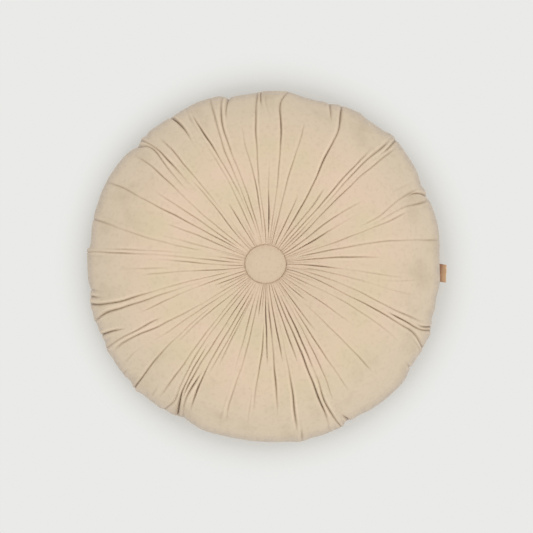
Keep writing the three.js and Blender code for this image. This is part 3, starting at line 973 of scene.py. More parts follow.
@dataclass
class Relief:
    """How far each point of a panel is drawn in, and the painted shade and highlight that go with that.

    Attributes:
        pull: how far it is drawn in, in millimetres.
        painted_shade: how much painted shade it takes in the creases and along the button's edge.
        painted_highlight: how much painted highlight it takes, for how near it lies to the crest beside a
            crease.
    """

    pull: np.ndarray
    painted_shade: np.ndarray
    painted_highlight: np.ndarray


@dataclass(frozen=True)
class SmallGathers:
    """Short gathers between the folds, close round the button.

    Attributes:
        turns: their angles.
        depth: how deep each is.
        end: the radius where they have run out.
        fade: how long they take to.
        width: half width of each.
        shade: how dark one is for its depth.
        shade_width: half width of its dark line.
    """

    turns: tuple[float, ...] = (
        3.6, 10.4, 20.5, 43.5, 70.6, 79.0, 117.5, 131.0, 154.5, 165.2, 206.5,
        264.5, 271.0, 311.0, 321.0, 330.5, 341.0, 352.8,
    )
    depth: float = 1.1
    end: float = 66.0
    fade: float = 24.0
    width: float = 0.5
    shade: float = 0.34
    shade_width: float = 0.4

    def press(self, relief: Relief, angles: np.ndarray, radii: np.ndarray) -> None:
        """Press them into a panel.

        Args:
            relief: the panel's relief, which takes them.
            angles: the points' angles, rings by columns.
            radii: of the rings.
        """
        depth = self.depth * smoothstep((self.end - radii) / self.fade)[:, None]
        for turn in self.turns:
            away = np.abs(along_ring(angles, turn, radii))
            relief.pull += depth * np.exp(-away / self.width)
            # Painted shade along each gather
            relief.painted_shade += depth * self.shade * np.exp(-away / self.shade_width)


@dataclass(frozen=True)
class ButtonShade:
    """The dark line between the button and the cloth round it.

    Attributes:
        radius: where it runs.
        width: half its width.
        shade: how dark it is.
        sides: how much darker it is at the left and right, and lighter above and below.
        slack: how much darker it is where the button stands off the cloth.
        slack_turn: the angle where it stands off most.
        slack_power: how soon it lies close again beside that.
    """

    radius: float
    width: float = 0.9
    shade: float = 0.1
    sides: float = 0.1
    slack: float = 0.2
    slack_turn: float = 335.0
    slack_power: int = 3

    def darken(self, relief: Relief, angles: np.ndarray, radii: np.ndarray) -> None:
        """Darken a panel along it.

        Args:
            relief: the panel's relief, which takes it.
            angles: the points' angles, rings by columns.
            radii: of the rings.
        """
        line = np.exp(-(((radii - self.radius) / self.width) ** 2))[:, None]
        sides = self.sides * np.cos(np.radians(2 * angles))
        slack = np.maximum(np.cos(np.radians(angles - self.slack_turn)), 0) ** self.slack_power
        relief.painted_shade += line * np.clip(self.shade + sides + self.slack * slack, 0, 1)


@dataclass(frozen=True)
class Panel:
    """A net of points over one face or both, ring by ring.

    Attributes:
        points: in millimetres, rings by columns by 3.
        angles: in degrees, rings by columns.
        radii: of the rings, before any of them is drawn in.
        painted_shade: how much painted shade each point takes in the creases and along the button's edge,
            from 0 to 1.
        painted_highlight: how much painted highlight it takes on the crest beside a crease, from 0 to 1.
    """

    points: np.ndarray
    angles: np.ndarray
    radii: np.ndarray
    painted_shade: np.ndarray
    painted_highlight: np.ndarray

    def sewn_to(self, back: "Panel") -> "Panel":
        """Join the back at the last ring.

        Args:
            back: the back, from its button out.

        Returns:
            Both, from the front's button round the rim to the back's.
        """
        names = ("points", "angles", "radii", "painted_shade", "painted_highlight")
        return Panel(*(np.concatenate([getattr(self, name), getattr(back, name)[::-1]]) for name in names))


@dataclass(frozen=True)
class Filling:
    """The soft filling: its pressure puffs the cloth up between the creases that hold it.

    Attributes:
        pressure: how hard it presses.
        frames: how long the cloth is let swell.
        quality: how many steps each frame takes.
        stretch: how hard the cloth is to stretch.
        shear: how hard it is to skew.
        bend: how hard it is to bend.
        weight: of one of its points.
        grip: how firmly a point is held for its depth in a crease.
        most: the furthest that a point moves, in millimetres.
        ring_step: every how many rings one is simulated.
        free: from the radius where the button lets the cloth go to the one where the seam holds it.
    """

    pressure: float = 130.0
    frames: int = 20
    quality: int = 5
    stretch: float = 15.0
    shear: float = 5.0
    bend: float = 0.5
    weight: float = 0.1
    grip: float = 2.0
    most: float = 2.5
    ring_step: int = 3
    free: tuple[float, float] = (26.0, 190.0)

    def swell(self, panel: Panel, columns: np.ndarray) -> np.ndarray:
        """Simulate a coarser net of the same cloth and carry its moves over to all the points.

        Args:
            panel: both faces.
            columns: the columns that are simulated, creases among them.

        Returns:
            The moved points, in millimetres.
        """
        count = len(panel.radii)
        rings = np.unique(np.append(np.arange(0, count, self.ring_step), count - 1))
        start = panel.points[np.ix_(rings, columns)]
        held = np.clip(panel.painted_shade[np.ix_(rings, columns)] * self.grip, 0, 1)
        radii = panel.radii[rings]
        held[(radii < self.free[0]) | (radii > self.free[1])] = 1.0
        moves = self.simulate(start, held) - start
        tiny = 1e-6
        length = np.maximum(np.linalg.norm(moves, axis=-1, keepdims=True), tiny)
        moves = np.round(moves * (self.most * np.tanh(length / self.most) / length), 2)
        between = follow(rings.astype(float), np.moveaxis(moves, 0, -1), np.arange(count, dtype=float))
        between = np.moveaxis(between, -1, 0)
        total = np.empty_like(panel.points)
        for ring in range(count):
            turns = panel.angles[ring]
            for axis in range(3):
                total[ring, :, axis] = np.interp(turns, turns[columns], between[ring, :, axis], period=360)
        return panel.points + total

    def simulate(self, start: np.ndarray, held: np.ndarray) -> np.ndarray:
        """Let a closed net of cloth swell.

        Args:
            start: its points in millimetres, rings by columns by 3.
            held: how firmly each is held, from 0 to 1.

        Returns:
            The points in the same order.
        """
        rows, count = held.shape
        form = make_piece("cushion form", start.reshape(-1, 3) * MM, net_faces(rows, count), None)
        group = form.vertex_groups.new(name="held")
        for number, share in enumerate(held.ravel()):
            if share > 0:
                group.add([number], float(share), "REPLACE")
        cloth = form.modifiers.new("swelling", "CLOTH").settings
        cloth.quality = self.quality
        cloth.mass = self.weight
        cloth.tension_stiffness = cloth.compression_stiffness = self.stretch
        cloth.shear_stiffness = self.shear
        cloth.bending_stiffness = self.bend
        cloth.vertex_group_mass = group.name
        cloth.use_pressure = True
        cloth.uniform_pressure_force = self.pressure
        cloth.effector_weights.gravity = 0.0
        for frame in range(1, self.frames + 1):
            bpy.context.scene.frame_set(frame)
        swollen = form.evaluated_get(bpy.context.evaluated_depsgraph_get())
        places = np.empty(start.size)
        swollen.data.vertices.foreach_get("co", places)
        bpy.context.scene.frame_set(1)
        mesh = form.data
        bpy.data.objects.remove(form)
        bpy.data.meshes.remove(mesh)
        return places.reshape(start.shape) / MM


@dataclass
class CushionSkin:
    """The filled body: two gathered panels, sewn together round the rim, as one closed skin.

    Attributes:
        axis: the button's axis, in metres.
        seam_height: of the rim seam over the floor.
        widest: a face's widest radius, beside the seam, before it is drawn out of round.
        steps: from a crease to the columns beside it.
        step_shares: the most that those take of the way to the next crease.
        between: how wide a gap gives one more column.
        gap_radius: where the gaps between the folds are measured for that.
        slit: half width of a crease's sharp middle at the axis, and its growth with the radius.
        bowl: half width of the hollow round it, and its growth.
        bowl_power: how flat the hollow's floor is.
        shares: what the sharp middle and the hollow take of a crease's depth.
        crowding: the most that a hollow takes of the way to the next crease.
        rim_breadth: how much broader the creases' middles get at the rim.
        rim_growth: the radius where they begin to, and how long that takes.
        lap_width: how far from a crease one wall stands higher than the other.
        notch_start: the radius where a rim notch begins.
        notch_breadth: how much broader a notch is than its crease's hollow.
        shade_depth: the depth that shades a crease wholly.
        shade_breadth: how much broader the dark line is than a crease's middle.
        crest: how many hollows from a crease the painted highlight on its crest lies, and how narrow it is.
        puff: how high the cloth stands between two folds, as a share of their distance.
        puff_depth: the folds' depth that gives this height.
        swell: low swells of the front: how many round it, their rise, and the angle of one.
        lumps: the rise of the cloth's low lumps, and their shortest and longest wave.
        lump_waves: how many waves make them up.
        back_order: the front's folds that the back's are pressed like: the step between two, and the first.
        back_lean: how much of a front fold's lean the back's fold has.
        floor_softness: how gently the back is pressed flat on the floor.
        zones: the radii where a mask begins and where it is full, for the painted light round the button,
            the painted shade and sheen towards the rim and the painted shade under its edge; the edge's mask
            also places its puckers' bump.
        seed: of the small differences.
        filling: what puffs the cloth, or none.
    """

    axis: Vector
    seam_height: float = 56.0
    widest: float = 200.2
    steps: tuple[float, ...] = (0.35, 0.9, 2.0, 4.2)
    step_shares: tuple[float, ...] = (0.07, 0.15, 0.25, 0.35)
    between: tuple[float, float] = (9.0, 6.6)
    gap_radius: float = 150.0
    slit: tuple[float, float] = (0.24, 0.0016)
    bowl: tuple[float, float] = (0.7, 0.0085)
    bowl_power: float = 1.2
    shares: tuple[float, float] = (0.58, 0.42)
    crowding: float = 0.34
    rim_breadth: float = 0.6
    rim_growth: tuple[float, float] = (160.0, 26.0)
    lap_width: float = 3.4
    notch_start: float = 168.0
    notch_breadth: float = 1.6
    shade_depth: float = 4.0
    shade_breadth: float = 1.2
    crest: tuple[float, float] = (1.25, 4.0)
    puff: float = 0.02
    puff_depth: float = 3.0
    swell: tuple[tuple[int, float, float], ...] = ((1, 2.1, 15), (2, 1.2, 140), (3, 1.5, 70), (5, 1.0, 20))
    lumps: tuple[float, float, float] = (0.5, 55.0, 120.0)
    lump_waves: int = 14
    back_order: tuple[int, int] = (31, 17)
    back_lean: float = 0.3
    floor_softness: float = 1.6
    zones: Mapping[str, tuple[float, float]] = field(
        default_factory=lambda: {"drawn": (74.0, 22.0), "rim": (120.0, 195.0), "edge": (188.0, 203.0)}
    )
    seed: int = 11
    filling: Filling | None = Filling()

    def back_folds(self) -> list[Fold]:
        """Give the back a fold for each of the front's, so that both panels meet in the same notches.

        Each is pressed as another of the front's is, so that the back has gathers of its own.

        Returns:
            The back's folds.
        """
        folds = []
        step, first = self.back_order
        for number, front in enumerate(FRONT_FOLDS):
            outer = front.turns[-1]
            inner = front.turns[0] + (outer - front.turns[0]) * self.back_lean
            turns = (inner, inner, (inner + outer) / 2, outer, outer, outer)
            other = FRONT_FOLDS[(number * step + first) % len(FRONT_FOLDS)]
            folds.append(Fold(turns, other.press, other.start, other.end, front.notch, other.lap))
        return folds

    def columns(
        self, creases: np.ndarray, radii: np.ndarray, extra: np.ndarray
    ) -> tuple[np.ndarray, np.ndarray]:
        """Place the columns of vertices: fine beside each crease, wider apart between them.

        Args:
            creases: the folds' angles, rings by folds.
            radii: of the rings.
            extra: how many columns stand in the middle of each gap.

        Returns:
            Angles, and shares of the way across the gap, both rings by columns.
        """
        width = ring_gaps(creases)
        near = np.degrees(np.array(self.steps) / np.maximum(radii, 1.0)[:, None])
        angles, shares = [], []
        for gap in range(creases.shape[1]):
            span = width[:, gap : gap + 1]
            steps = np.minimum(near, np.array(self.step_shares) * span)
            last = steps[:, -1:]
            inside = np.arange(1, extra[gap] + 1) / (extra[gap] + 1)
            middle = last + (span - 2 * last) * inside
            across = np.hstack([np.zeros_like(span), steps, middle, span - steps[:, ::-1]])
            angles.append(creases[:, gap : gap + 1] + across)
            shares.append(across / span)
        return np.hstack(angles), np.hstack(shares)

    def press_folds(
        self, section: FaceSection, gathers: Gathers, creases: np.ndarray, angles: np.ndarray
    ) -> Relief:
        """Press the folds and the rim's notches into a panel.

        Args:
            section: the panel's section.
            gathers: its folds.
            creases: the folds' angles, rings by folds.
            angles: the points' angles, rings by columns.

        Returns:
            The panel's relief.
        """
        radii = section.radii
        depths = gathers.depths(radii)
        rim_share = smoothstep((radii - self.notch_start) / (section.rim_radius - self.notch_start))
        notches = gathers.notch * rim_share[:, None]
        pitch = np.radians(ring_gaps(creases)) * radii[:, None]
        bowls = np.minimum(self.bowl[0] + self.bowl[1] * radii[:, None], self.crowding * pitch)
        bowls = np.maximum(bowls, self.bowl[0] / 2)
        broad_from, broad_over = self.rim_growth
        widening = 1 + self.rim_breadth * smoothstep((radii - broad_from) / broad_over)
        slits = ((self.slit[0] + self.slit[1] * radii) * widening)[:, None]
        slit_share, bowl_share = self.shares
        crest_place, narrowness = self.crest
        relief = Relief(np.zeros_like(angles), np.zeros_like(angles), np.zeros_like(angles))
        for fold in range(creases.shape[1]):
            own = np.s_[:, fold : fold + 1]
            along = along_ring(angles, creases[own], radii)
            away = np.abs(along)
            slit = np.exp(-away / slits)
            bowl = np.exp(-((away / bowls[own]) ** self.bowl_power))
            notch = np.exp(-away / (self.notch_breadth * bowls[own]))
            depth = depths[own]
            lap = gathers.lap[fold] * depth * np.sign(along) * np.exp(-away / self.lap_width)
            relief.pull += depth * (slit_share * slit + bowl_share * bowl) + notches[own] * notch
            relief.pull -= lap * (1 - slit)
            # Painted shade along the crease, and painted highlight on the crest beside it
            shade = depth / self.shade_depth
            relief.painted_shade += shade * np.exp(-away / (slits * self.shade_breadth))
            relief.painted_highlight += shade * np.exp(-((away / bowls[own] - crest_place) ** 2) * narrowness)
        return relief

    def face(self, section: FaceSection, gathers: Gathers, extra: np.ndarray) -> Panel:
        """Shape one panel.

        Args:
            section: the panel's section.
            gathers: its folds.
            extra: columns in the middle of each gap.

        Returns:
            The panel.
        """
        front = section.side is Side.FRONT
        radii = section.radii
        creases = gathers.angles(radii)
        angles, across = self.columns(creases, radii, extra)
        relief = self.press_folds(section, gathers, creases, angles)
        if front:
            ButtonShade(section.button_radius).darken(relief, angles, radii)
            SmallGathers().press(relief, angles, radii)
        depths = gathers.depths(radii)
        strength = np.minimum(depths, np.roll(depths, -1, axis=1)) / self.puff_depth
        counts = extra + 1 + 2 * len(self.steps)
        pitch = np.radians(ring_gaps(creases)) * radii[:, None]
        puffs = np.repeat(self.puff * pitch * strength, counts, axis=1) * 4 * across * (1 - across)
        facing = (section.out + section.up > 0)[:, None]
        pull = np.where(facing, relief.pull - puffs, 0)
        turn = np.radians(angles)
        share = radii[:, None] / section.rim_radius
        drawn = smoothstep((BUTTON_DRAW.reach - radii) / BUTTON_DRAW.fade)[:, None] if front else 0
        stretch = 1 + (rim_reach(angles) / self.widest - 1) * share**3
        lift = 1 + self.swelling(angles, section) * share
        radius = radii[:, None] * stretch - section.out[:, None] * pull
        rise = section.up[:, None] * (pull - self.lump(radius, turn) * share)
        height = section.heights[:, None] * lift - rise
        heading = np.stack([np.cos(turn), np.sin(turn)], axis=-1)
        radius = radius * (1 + heading**2 @ np.array(BUTTON_DRAW.stretch) * drawn)
        radius = radius + heading @ np.array(BUTTON_DRAW.shift) * drawn
        level = self.seam_height + rim_seam(angles) * share**4 + section.side.value * height
        points = np.concatenate([heading * radius[..., None], level[..., None]], axis=-1)
        return Panel(points, angles, radii, np.clip(relief.painted_shade, 0, 1), np.clip(relief.painted_highlight, 0, 1))

    def swelling(self, angles: np.ndarray, section: FaceSection) -> np.ndarray:
        """Let the front's filling stand a little higher here, lower there.

        Args:
            angles: in degrees.
            section: the face.

        Returns:
            The share by which its height grows.
        """
        if section.side is Side.BACK:
            return np.zeros_like(angles)
        waves = [rise * np.cos(np.radians(count * (angles - crest))) for count, rise, crest in self.swell]
        return sum(waves) / section.rise

    def lump(self, radius: np.ndarray, turn: np.ndarray) -> np.ndarray:
        """Spread low uneven lumps over the cloth.

        Args:
            radius: of each point.
            turn: of each point, in radians.

        Returns:
            Their height in millimetres.
        """
        draw = np.random.default_rng(self.seed)
        rise, shortest, longest = self.lumps
        east, north = radius * np.cos(turn), radius * np.sin(turn)
        total = np.zeros_like(radius)
        for _ in range(self.lump_waves):
            heading, phase = draw.uniform(0, 2 * math.pi, 2)
            wave = draw.uniform(shortest, longest)
            forward = east * math.cos(heading) + north * math.sin(heading)
            total += np.sin(forward * 2 * math.pi / wave + phase)
        return total * rise / math.sqrt(self.lump_waves / 2)

    def swelling_columns(self, extra: np.ndarray) -> np.ndarray:
        """Choose the creases, and the columns that aren't close beside them.

        Args:
            extra: how many columns stand in the middle of each gap.

        Returns:
            Their numbers.
        """
        near = len(self.steps)
        chosen, first = [], 0
        for middle in extra:
            chosen += [first, *range(first + near, first + near + middle + 2)]
            first += middle + 1 + 2 * near
        return np.array(chosen)

    def build(self, name: str, cloth: bpy.types.Material) -> bpy.types.Object:
        """Make the skin as one closed mesh.

        Args:
            name: the piece's name.
            cloth: its material.

        Returns:
            The piece.
        """
        front = FaceSection(Side.FRONT, rise=60.0, shares=((0.5, 27), (0.93, 26), (1.0, 10)))
        back = FaceSection(Side.BACK, rise=59.5, shares=((0.5, 12), (0.93, 12), (0.988, 4)))
        front_gathers = Gathers(FRONT_FOLDS, self.seed)
        back_gathers = Gathers(self.back_folds(), self.seed)
        middle = front_gathers.angles(np.array([self.gap_radius]))
        gaps = np.radians(ring_gaps(middle)[0]) * self.gap_radius
        extra = 1 + (np.maximum(gaps - self.between[0], 0) / self.between[1]).astype(int)
        panel = self.face(front, front_gathers, extra).sewn_to(self.face(back, back_gathers, extra))
        rows, count = panel.angles.shape
        points = panel.points
        if self.filling:
            points = self.filling.swell(panel, self.swelling_columns(extra))
        height = points[..., 2]
        height = (height + np.sqrt(height**2 + self.floor_softness**2)) / 2
        points[..., 2] = height - height.min()
        radii = np.repeat(panel.radii, count)
        floors = [(0, 0, points[0, 0, 2]), (0, 0, points[-1, 0, 2])]
        flat = np.vstack([points.reshape(-1, 3), floors])
        LOG.info("skin: %d rings, %d columns, %d triangles", rows, count, 2 * rows * count)
        faces = net_faces(rows, count, closed=2)
        piece = make_piece(name, flat * MM + np.array(self.axis), faces, cloth)
        # Painted shade and painted highlight for the cloth's colour, then the masks of painted light and
        # shade by radius
        set_mask(piece, "crease", np.append(panel.painted_shade.ravel(), [0, 0]))
        set_mask(piece, "crest", np.append(panel.painted_highlight.ravel(), [0, 0]))
        for zone, (start, end) in self.zones.items():
            set_mask(piece, zone, np.append(smoothstep((radii - start) / (end - start)), [0, 0]))
        return piece


def net_faces(rows: int, count: int, closed: int = 0, flipped: bool = False) -> list[Sequence[int]]:
    """Join a net's points into faces.

    Args:
        rows: how many rings it has.
        count: how many columns.
        closed: how many points after the net's close its first ring, and then its last.
        flipped: whether the faces look the other way.

    Returns:
        The faces.
    """
    row, column = np.meshgrid(np.arange(rows - 1), np.arange(count), indexing="ij")
    here = row * count + column
    beside = row * count + (column + 1) % count
    faces = np.stack([here, here + count, beside + count, beside], axis=-1).reshape(-1, 4).tolist()
    first, last = rows * count, (rows - 1) * count
    if closed > 0:
        faces += [(first, place, (place + 1) % count) for place in range(count)]
    if closed > 1:
        faces += [(first + 1, last + (place + 1) % count, last + place) for place in range(count)]
    return [(face[0], *face[:0:-1]) for face in faces] if flipped else faces


def make_piece(
    name: str, points: np.ndarray, faces: Sequence[Sequence[int]], dress: "bpy.types.Material | None"
) -> bpy.types.Object:
    """Make a smooth mesh object.

    Args:
        name: the piece's name.
        points: in metres.
        faces: vertex numbers, anticlockwise from outside.
        dress: its material, or none.

    Returns:
        The object.
    """
    mesh = bpy.data.meshes.new(name)
    mesh.from_pydata(points.tolist(), [], faces)
    mesh.shade_smooth()
    if dress:
        mesh.materials.append(dress)
    mesh.validate()
    piece = bpy.data.objects.new(name, mesh)
    bpy.context.scene.collection.objects.link(piece)
    return piece


def set_mask(piece: bpy.types.Object, name: str, values: np.ndarray) -> None:
    """Give a piece's vertices a value that its material reads.

    Args:
        piece: the piece.
        name: the value's name.
        values: one for each vertex.
    """
    layer = piece.data.attributes.new(name, "FLOAT", "POINT")
    layer.data.foreach_set("value", np.ascontiguousarray(values, np.float32))


@dataclass
class CoveredButton:
    """A button covered with the cushion's cloth.

    Attributes:
        side: the face that it is drawn into.
        node: the solid that it stands for.
        radius: of its rolled edge.
        dome: its top over its edge, and how flat its middle is.
        edge: the rolled edge's radius.
        roll: the angles where the rolled edge begins and ends, and its rings.
        top_rings: rings from there to the middle, with both ends.
        underside: the flat underside's radius, and its depth below the edge.
        sides: points round it.
        puckers: how many small puckers its edge has.
        pucker_rise: how far they stand out.
        pucker_place: how far inside the edge they stand out most, and how broad they are.
        pucker_drift: how unevenly they are spread, in radians, and how many times round.
        sag: how far the cover sinks at two sides, and where, in radians.
    """

    side: Side
    node: str
    radius: float = 23.0
    dome: tuple[float, float] = (4.4, 2.6)
    edge: float = 1.7
    roll: tuple[float, float, int] = (-60.0, 66.0, 9)
    top_rings: int = 16
    underside: tuple[float, float] = (16.0, 4.6)
    sides: int = 180
    puckers: int = 26
    pucker_rise: float = 0.16
    pucker_place: tuple[float, float] = (1.2, 1.6)
    pucker_drift: tuple[float, int] = (1.5, 3)
    sag: tuple[float, float] = (0.22, 0.6)

    def profile(self) -> np.ndarray:
        """Follow the section from the underside's middle to the top.

        Returns:
            Radii and heights.
        """
        back_radius, back_depth = self.underside
        line = [(back_radius * share, -back_depth) for share in (0.5, 1.0)]
        for turn in np.radians(np.linspace(*self.roll)):
            line.append((self.radius - self.edge + self.edge * math.cos(turn), self.edge * math.sin(turn)))
        start_radius, start_height = line[-1]
        top, flatness = self.dome
        for share in np.linspace(1, 0, self.top_rings)[1:-1]:
            climb = (top - start_height) * (1 - share**flatness)
            line.append((start_radius * share, start_height + climb))
        return np.array(line)

    def build(self, cloth: bpy.types.Material) -> bpy.types.Object:
        """Make the button.

        Args:
            cloth: its material.

        Returns:
            The piece.
        """
        low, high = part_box(self.node)
        middle = (low + high) / 2
        profile = self.profile()
        turn = np.linspace(0, 2 * math.pi, self.sides, endpoint=False)
        inside, breadth = self.pucker_place
        drift, times = self.pucker_drift
        depth, lowest = self.sag
        near_edge = np.exp(-np.abs(profile[:, :1] - self.radius + inside) / breadth)
        ripple = self.pucker_rise * near_edge * np.sin(self.puckers * turn + drift * np.sin(times * turn))
        sag = depth * (profile[:, :1] / self.radius) * np.cos(2 * turn + lowest)
        radius = profile[:, :1] + ripple
        height = profile[:, 1:] + sag * (profile[:, 1:] > 0)
        facing = self.side.value
        points = np.stack([radius * np.cos(turn), radius * np.sin(turn) * facing, height * facing], axis=-1)
        back_depth = self.underside[1] * facing
        ends = [(0, 0, -back_depth), (0, 0, self.dome[0] * facing)]
        flat = np.vstack([points.reshape(-1, 3), *ends])
        flat[:, 2] += (low.z if self.side is Side.FRONT else high.z) / MM + back_depth
        if self.side is Side.FRONT:
            flat[:, :2] = flat[:, :2] * (1 + np.array(BUTTON_DRAW.stretch)) + np.array(BUTTON_DRAW.shift)
        flat = flat * MM + np.array([middle.x, middle.y, 0])
        faces = net_faces(len(profile), self.sides, closed=2, flipped=True)
        return make_piece(self.node + "_velvet", flat, faces, cloth)


@dataclass
class TabLabel:
    """A narrow strip of imitation leather, folded back on itself and caught in the rim seam.

    Attributes:
        axis: the button's axis, in metres.
        seam_height: of the rim seam over the floor.
        angle: where it stands on the rim.
        turn: how its fold is turned from the rim's line.
        lean: how far it swings clockwise along its length, as a share of that.
        droop: how far its tip hangs.
        width: along the rim.
        root: from the axis to its buried end.
        base: from the axis to where it leaves the seam.
        tip: from the axis to its fold.
        layer: the leather's thickness.
        root_half: half its thickness in the seam.
        fold_half: half its thickness at the fold.
        least_half: the least half gap between its two layers.
        clear: how far from the base it is shaded wholly.
        corners: how much shorter its two edges are, and how close to them.
        waves: two waves across it: the first moves it outwards, the second up. Each has its size, how
            many radians it takes from edge to edge, and where it begins.
        edge_shade: how much darker its two edges are, and how close to them.
        steps: points along a face, round the fold, and across.
    """

    axis: Vector
    seam_height: float
    angle: float = -2.7
    turn: float = -2.6
    lean: float = 0.13
    droop: float = 5.0
    width: float = 20.2
    root: float = 195.9
    base: float = 197.1
    tip: float = 204.7
    layer: float = 0.62
    root_half: float = 0.7
    fold_half: float = 1.0
    least_half: float = 0.06
    clear: float = 0.2
    corners: tuple[float, int] = (0.035, 6)
    waves: tuple[tuple[float, float, float], ...] = ((0.12, 9.0, 0.0), (0.35, 5.0, 0.4))
    edge_shade: tuple[float, int] = (0.25, 5)
    steps: tuple[int, int, int] = (12, 9, 28)

    def outline(self) -> tuple[np.ndarray, np.ndarray]:
        """Follow the folded strip's section, outer face first, then the inner one back.

        Returns:
            Points along the strip and up, and how near each is to the fold, from 0 to 1.
        """
        reach = self.tip - self.base - self.fold_half
        start = self.root - self.base
        along_steps, fold_steps, _ = self.steps

        def leaf(inset: float) -> list[tuple[float, float]]:
            """Follow one face of the strip, from its lower root round the fold to its upper root.

            Args:
                inset: how far it lies inside the outer face.

            Returns:
                Points along the strip and up.
            """
            places = np.linspace(start, reach, along_steps)
            spread = self.root_half + (self.fold_half - self.root_half) * (places - start) / (reach - start)
            inner = np.maximum(spread - inset, self.least_half) if inset else spread
            lower = list(zip(places, -inner))
            upper = list(zip(places[::-1], inner[::-1]))
            turns = np.linspace(-math.pi / 2, math.pi / 2, fold_steps)[1:-1]
            size = self.fold_half - inset
            fold = [(reach + size * math.cos(turn), size * math.sin(turn)) for turn in turns]
            return lower + fold + upper

        points = np.array(leaf(0.0) + leaf(self.layer)[::-1])
        near = np.clip((points[:, 0] - self.clear) / (self.tip - self.base - self.clear), 0, 1)
        return points, near

    def build(self, leather: bpy.types.Material) -> bpy.types.Object:
        """Make the tab.

        Args:
            leather: its material.

        Returns:
            The piece.
        """
        outline, near = self.outline()
        places = np.linspace(-0.5, 0.5, self.steps[-1])
        beside_edge = np.abs(places[:, None] * 2)
        shorter, sharpness = self.corners
        ends = 1 - shorter * beside_edge**sharpness
        outward, upward = (size * np.sin(places * turns + start) for size, turns, start in self.waves)
        along = outline[:, 0] * ends + outward[:, None] * near
        up = outline[:, 1] + upward[:, None] * near
        across = np.broadcast_to((places * self.width)[:, None], along.shape)
        droop, turn, angle = (math.radians(value) for value in (self.droop, self.turn, self.angle))
        reach = along * math.cos(droop) + up * math.sin(droop)
        height = up * math.cos(droop) - along * math.sin(droop)
        east = reach * math.cos(turn) - across * math.sin(turn) + self.base * math.cos(angle)
        north = reach * (math.sin(turn) - self.lean) + across * math.cos(turn) + self.base * math.sin(angle)
        seam = self.seam_height + float(rim_seam(np.array(self.angle)))
        points = np.stack([east, north, height + seam], axis=-1)
        rows, count = points.shape[:2]
        faces = net_faces(rows, count, flipped=True)
        for row, way in ((0, -1), (rows - 1, 1)):
            for place in range(count // 2 - 1):
                across_end = (place, place + 1, count - 2 - place, count - 1 - place)
                faces.append(tuple(row * count + number for number in across_end)[::way])
        flat = points.reshape(-1, 3) * MM + np.array(self.axis)
        piece = make_piece("label_leather", flat, faces, leather)
        shade, closeness = self.edge_shade
        set_mask(piece, "along", (near - shade * beside_edge**closeness).ravel())
        return piece


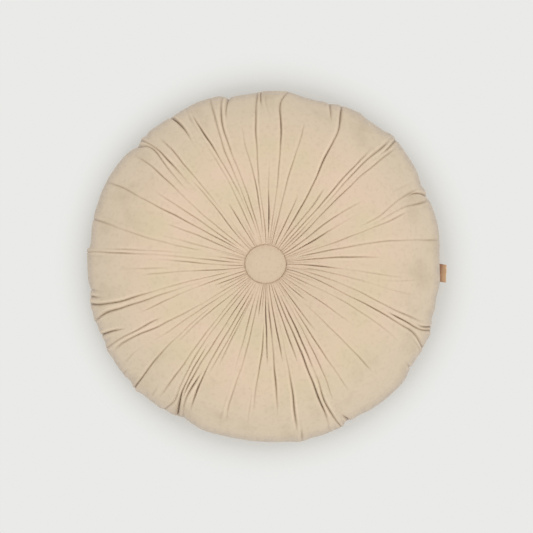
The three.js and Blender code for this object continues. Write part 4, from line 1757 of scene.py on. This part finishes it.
@dataclass
class Studio:
    """The pale floor, the soft light and the camera over the cushion.

    Attributes:
        axis: the button's axis, in metres.
        seam_height: the outline's height over the floor.
        offset: from the axis to the picture's middle.
        picture: the picture's width in pixels.
        object_pixels: the cushion's width in the picture.
        object_width: its real width.
        distance: from the camera to the outline's level.
        sensor: the camera's sensor width.
        floor_rings: the radii of the floor's rings.
        floor_sides: points on each.
        dim_sky: the dome's tone on its darker side.
        bright_sky: its tone on its brighter side.
        brighter: the direction of that side.
        sky_strength: how strongly it shines.
    """

    axis: Vector
    seam_height: float
    offset: tuple[float, float] = (0.1, -2.27)
    picture: int = 533
    object_pixels: float = 352.0
    object_width: float = 400.0
    distance: float = 2600.0
    sensor: float = 36.0
    floor_rings: tuple[float, ...] = (150.0, 300.0, 800.0, 6000.0)
    floor_sides: int = 48
    dim_sky: Colour = paint(178, 178, 177)
    bright_sky: Colour = paint(255, 255, 253)
    brighter: tuple[float, float, float] = (0.28, -0.21, 0.937)
    sky_strength: float = 1.27

    def floor(self) -> bpy.types.Object:
        """Lay the floor.

        Returns:
            The floor.
        """
        turns = np.linspace(0, 2 * math.pi, self.floor_sides, endpoint=False)
        points = [(r * math.cos(turn), r * math.sin(turn), 0.0) for r in self.floor_rings for turn in turns]
        faces = net_faces(len(self.floor_rings), self.floor_sides, closed=1)
        sheet = FloorFinish().material("studio floor")
        floor = make_piece("floor", np.array([*points, (0.0, 0.0, 0.0)]) * MM, faces, sheet)
        return floor

    def light(self) -> None:
        """Hang a pale dome, a little brighter towards the lower right."""
        world = bpy.data.worlds.new("studio dome")
        bpy.context.scene.world = world
        bench = NodeBench(world)
        where = bench.add("ShaderNodeTexCoord", output="Generated")
        ways = {0: where, 1: self.brighter}
        lean = bench.add("ShaderNodeVectorMath", {"operation": "DOT_PRODUCT"}, ways, "Value")
        tone = bench.blend((0.5 + 0.5 * lean).held(), self.dim_sky, self.bright_sky)
        dome = bench.add("ShaderNodeBackground", {}, {"Color": tone, "Strength": self.sky_strength})
        bench.finish(dome, "ShaderNodeOutputWorld")

    def camera(self) -> None:
        """Look straight down on the cushion through a long lens."""
        eye = bpy.data.cameras.new("overhead camera")
        shown = self.picture * self.object_width / self.object_pixels
        eye.sensor_width = self.sensor
        eye.lens = self.sensor * self.distance / shown
        eye.clip_end = 50.0
        holder = bpy.data.objects.new("overhead camera", eye)
        east, north = self.offset
        height = self.seam_height + self.distance
        holder.location = (self.axis.x + east * MM, self.axis.y + north * MM, height * MM)
        bpy.context.scene.collection.objects.link(holder)
        bpy.context.scene.camera = holder

    def develop(self) -> None:
        """Show colours as they are, with no film curve."""
        view = bpy.context.scene.view_settings
        view.view_transform = "Standard"
        view.look = "None"


def attach(piece: bpy.types.Object, node: str) -> None:
    """Let a piece stand for a solid, on the cushion's body.

    Args:
        piece: the piece.
        node: the solid's node.
    """
    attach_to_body(piece, BODY)
    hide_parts(node)
    LOG.info("%s: %d faces, stands for %s", piece.name, len(piece.data.polygons), node)


def main() -> None:
    """Build the cushion, its buttons, its tab and the studio, in order."""
    logging.basicConfig(level=logging.INFO, format="%(name)s: %(message)s")
    low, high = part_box("front_button")
    axis = Vector(((low.x + high.x) / 2, (low.y + high.y) / 2, 0.0))
    velvet = VelvetFinish(middle=tuple(axis)).material("sand velvet")
    # A darker copy of the velvet for the buttons: painted shade on their open tops, along with the tighter
    # cloth's tone
    stretched_and_shaded = VelvetFinish(warm=paint(207, 187, 164), cool=paint(205, 188, 162))
    button_velvet = stretched_and_shaded.material("sand velvet, stretched")
    leather = TabFinish().material("tan leather")

    skin = CushionSkin(axis)
    cushion = skin.build("cushion_velvet", velvet)
    attach(cushion, "cushion")

    for side, node in ((Side.FRONT, "front_button"), (Side.BACK, "back_button")):
        attach(CoveredButton(side, node).build(button_velvet), node)

    attach(TabLabel(axis, skin.seam_height).build(leather), "label")

    studio = Studio(axis, skin.seam_height)
    studio.floor()
    studio.light()
    studio.camera()
    studio.develop()


if __name__ == "__main__":
    main()
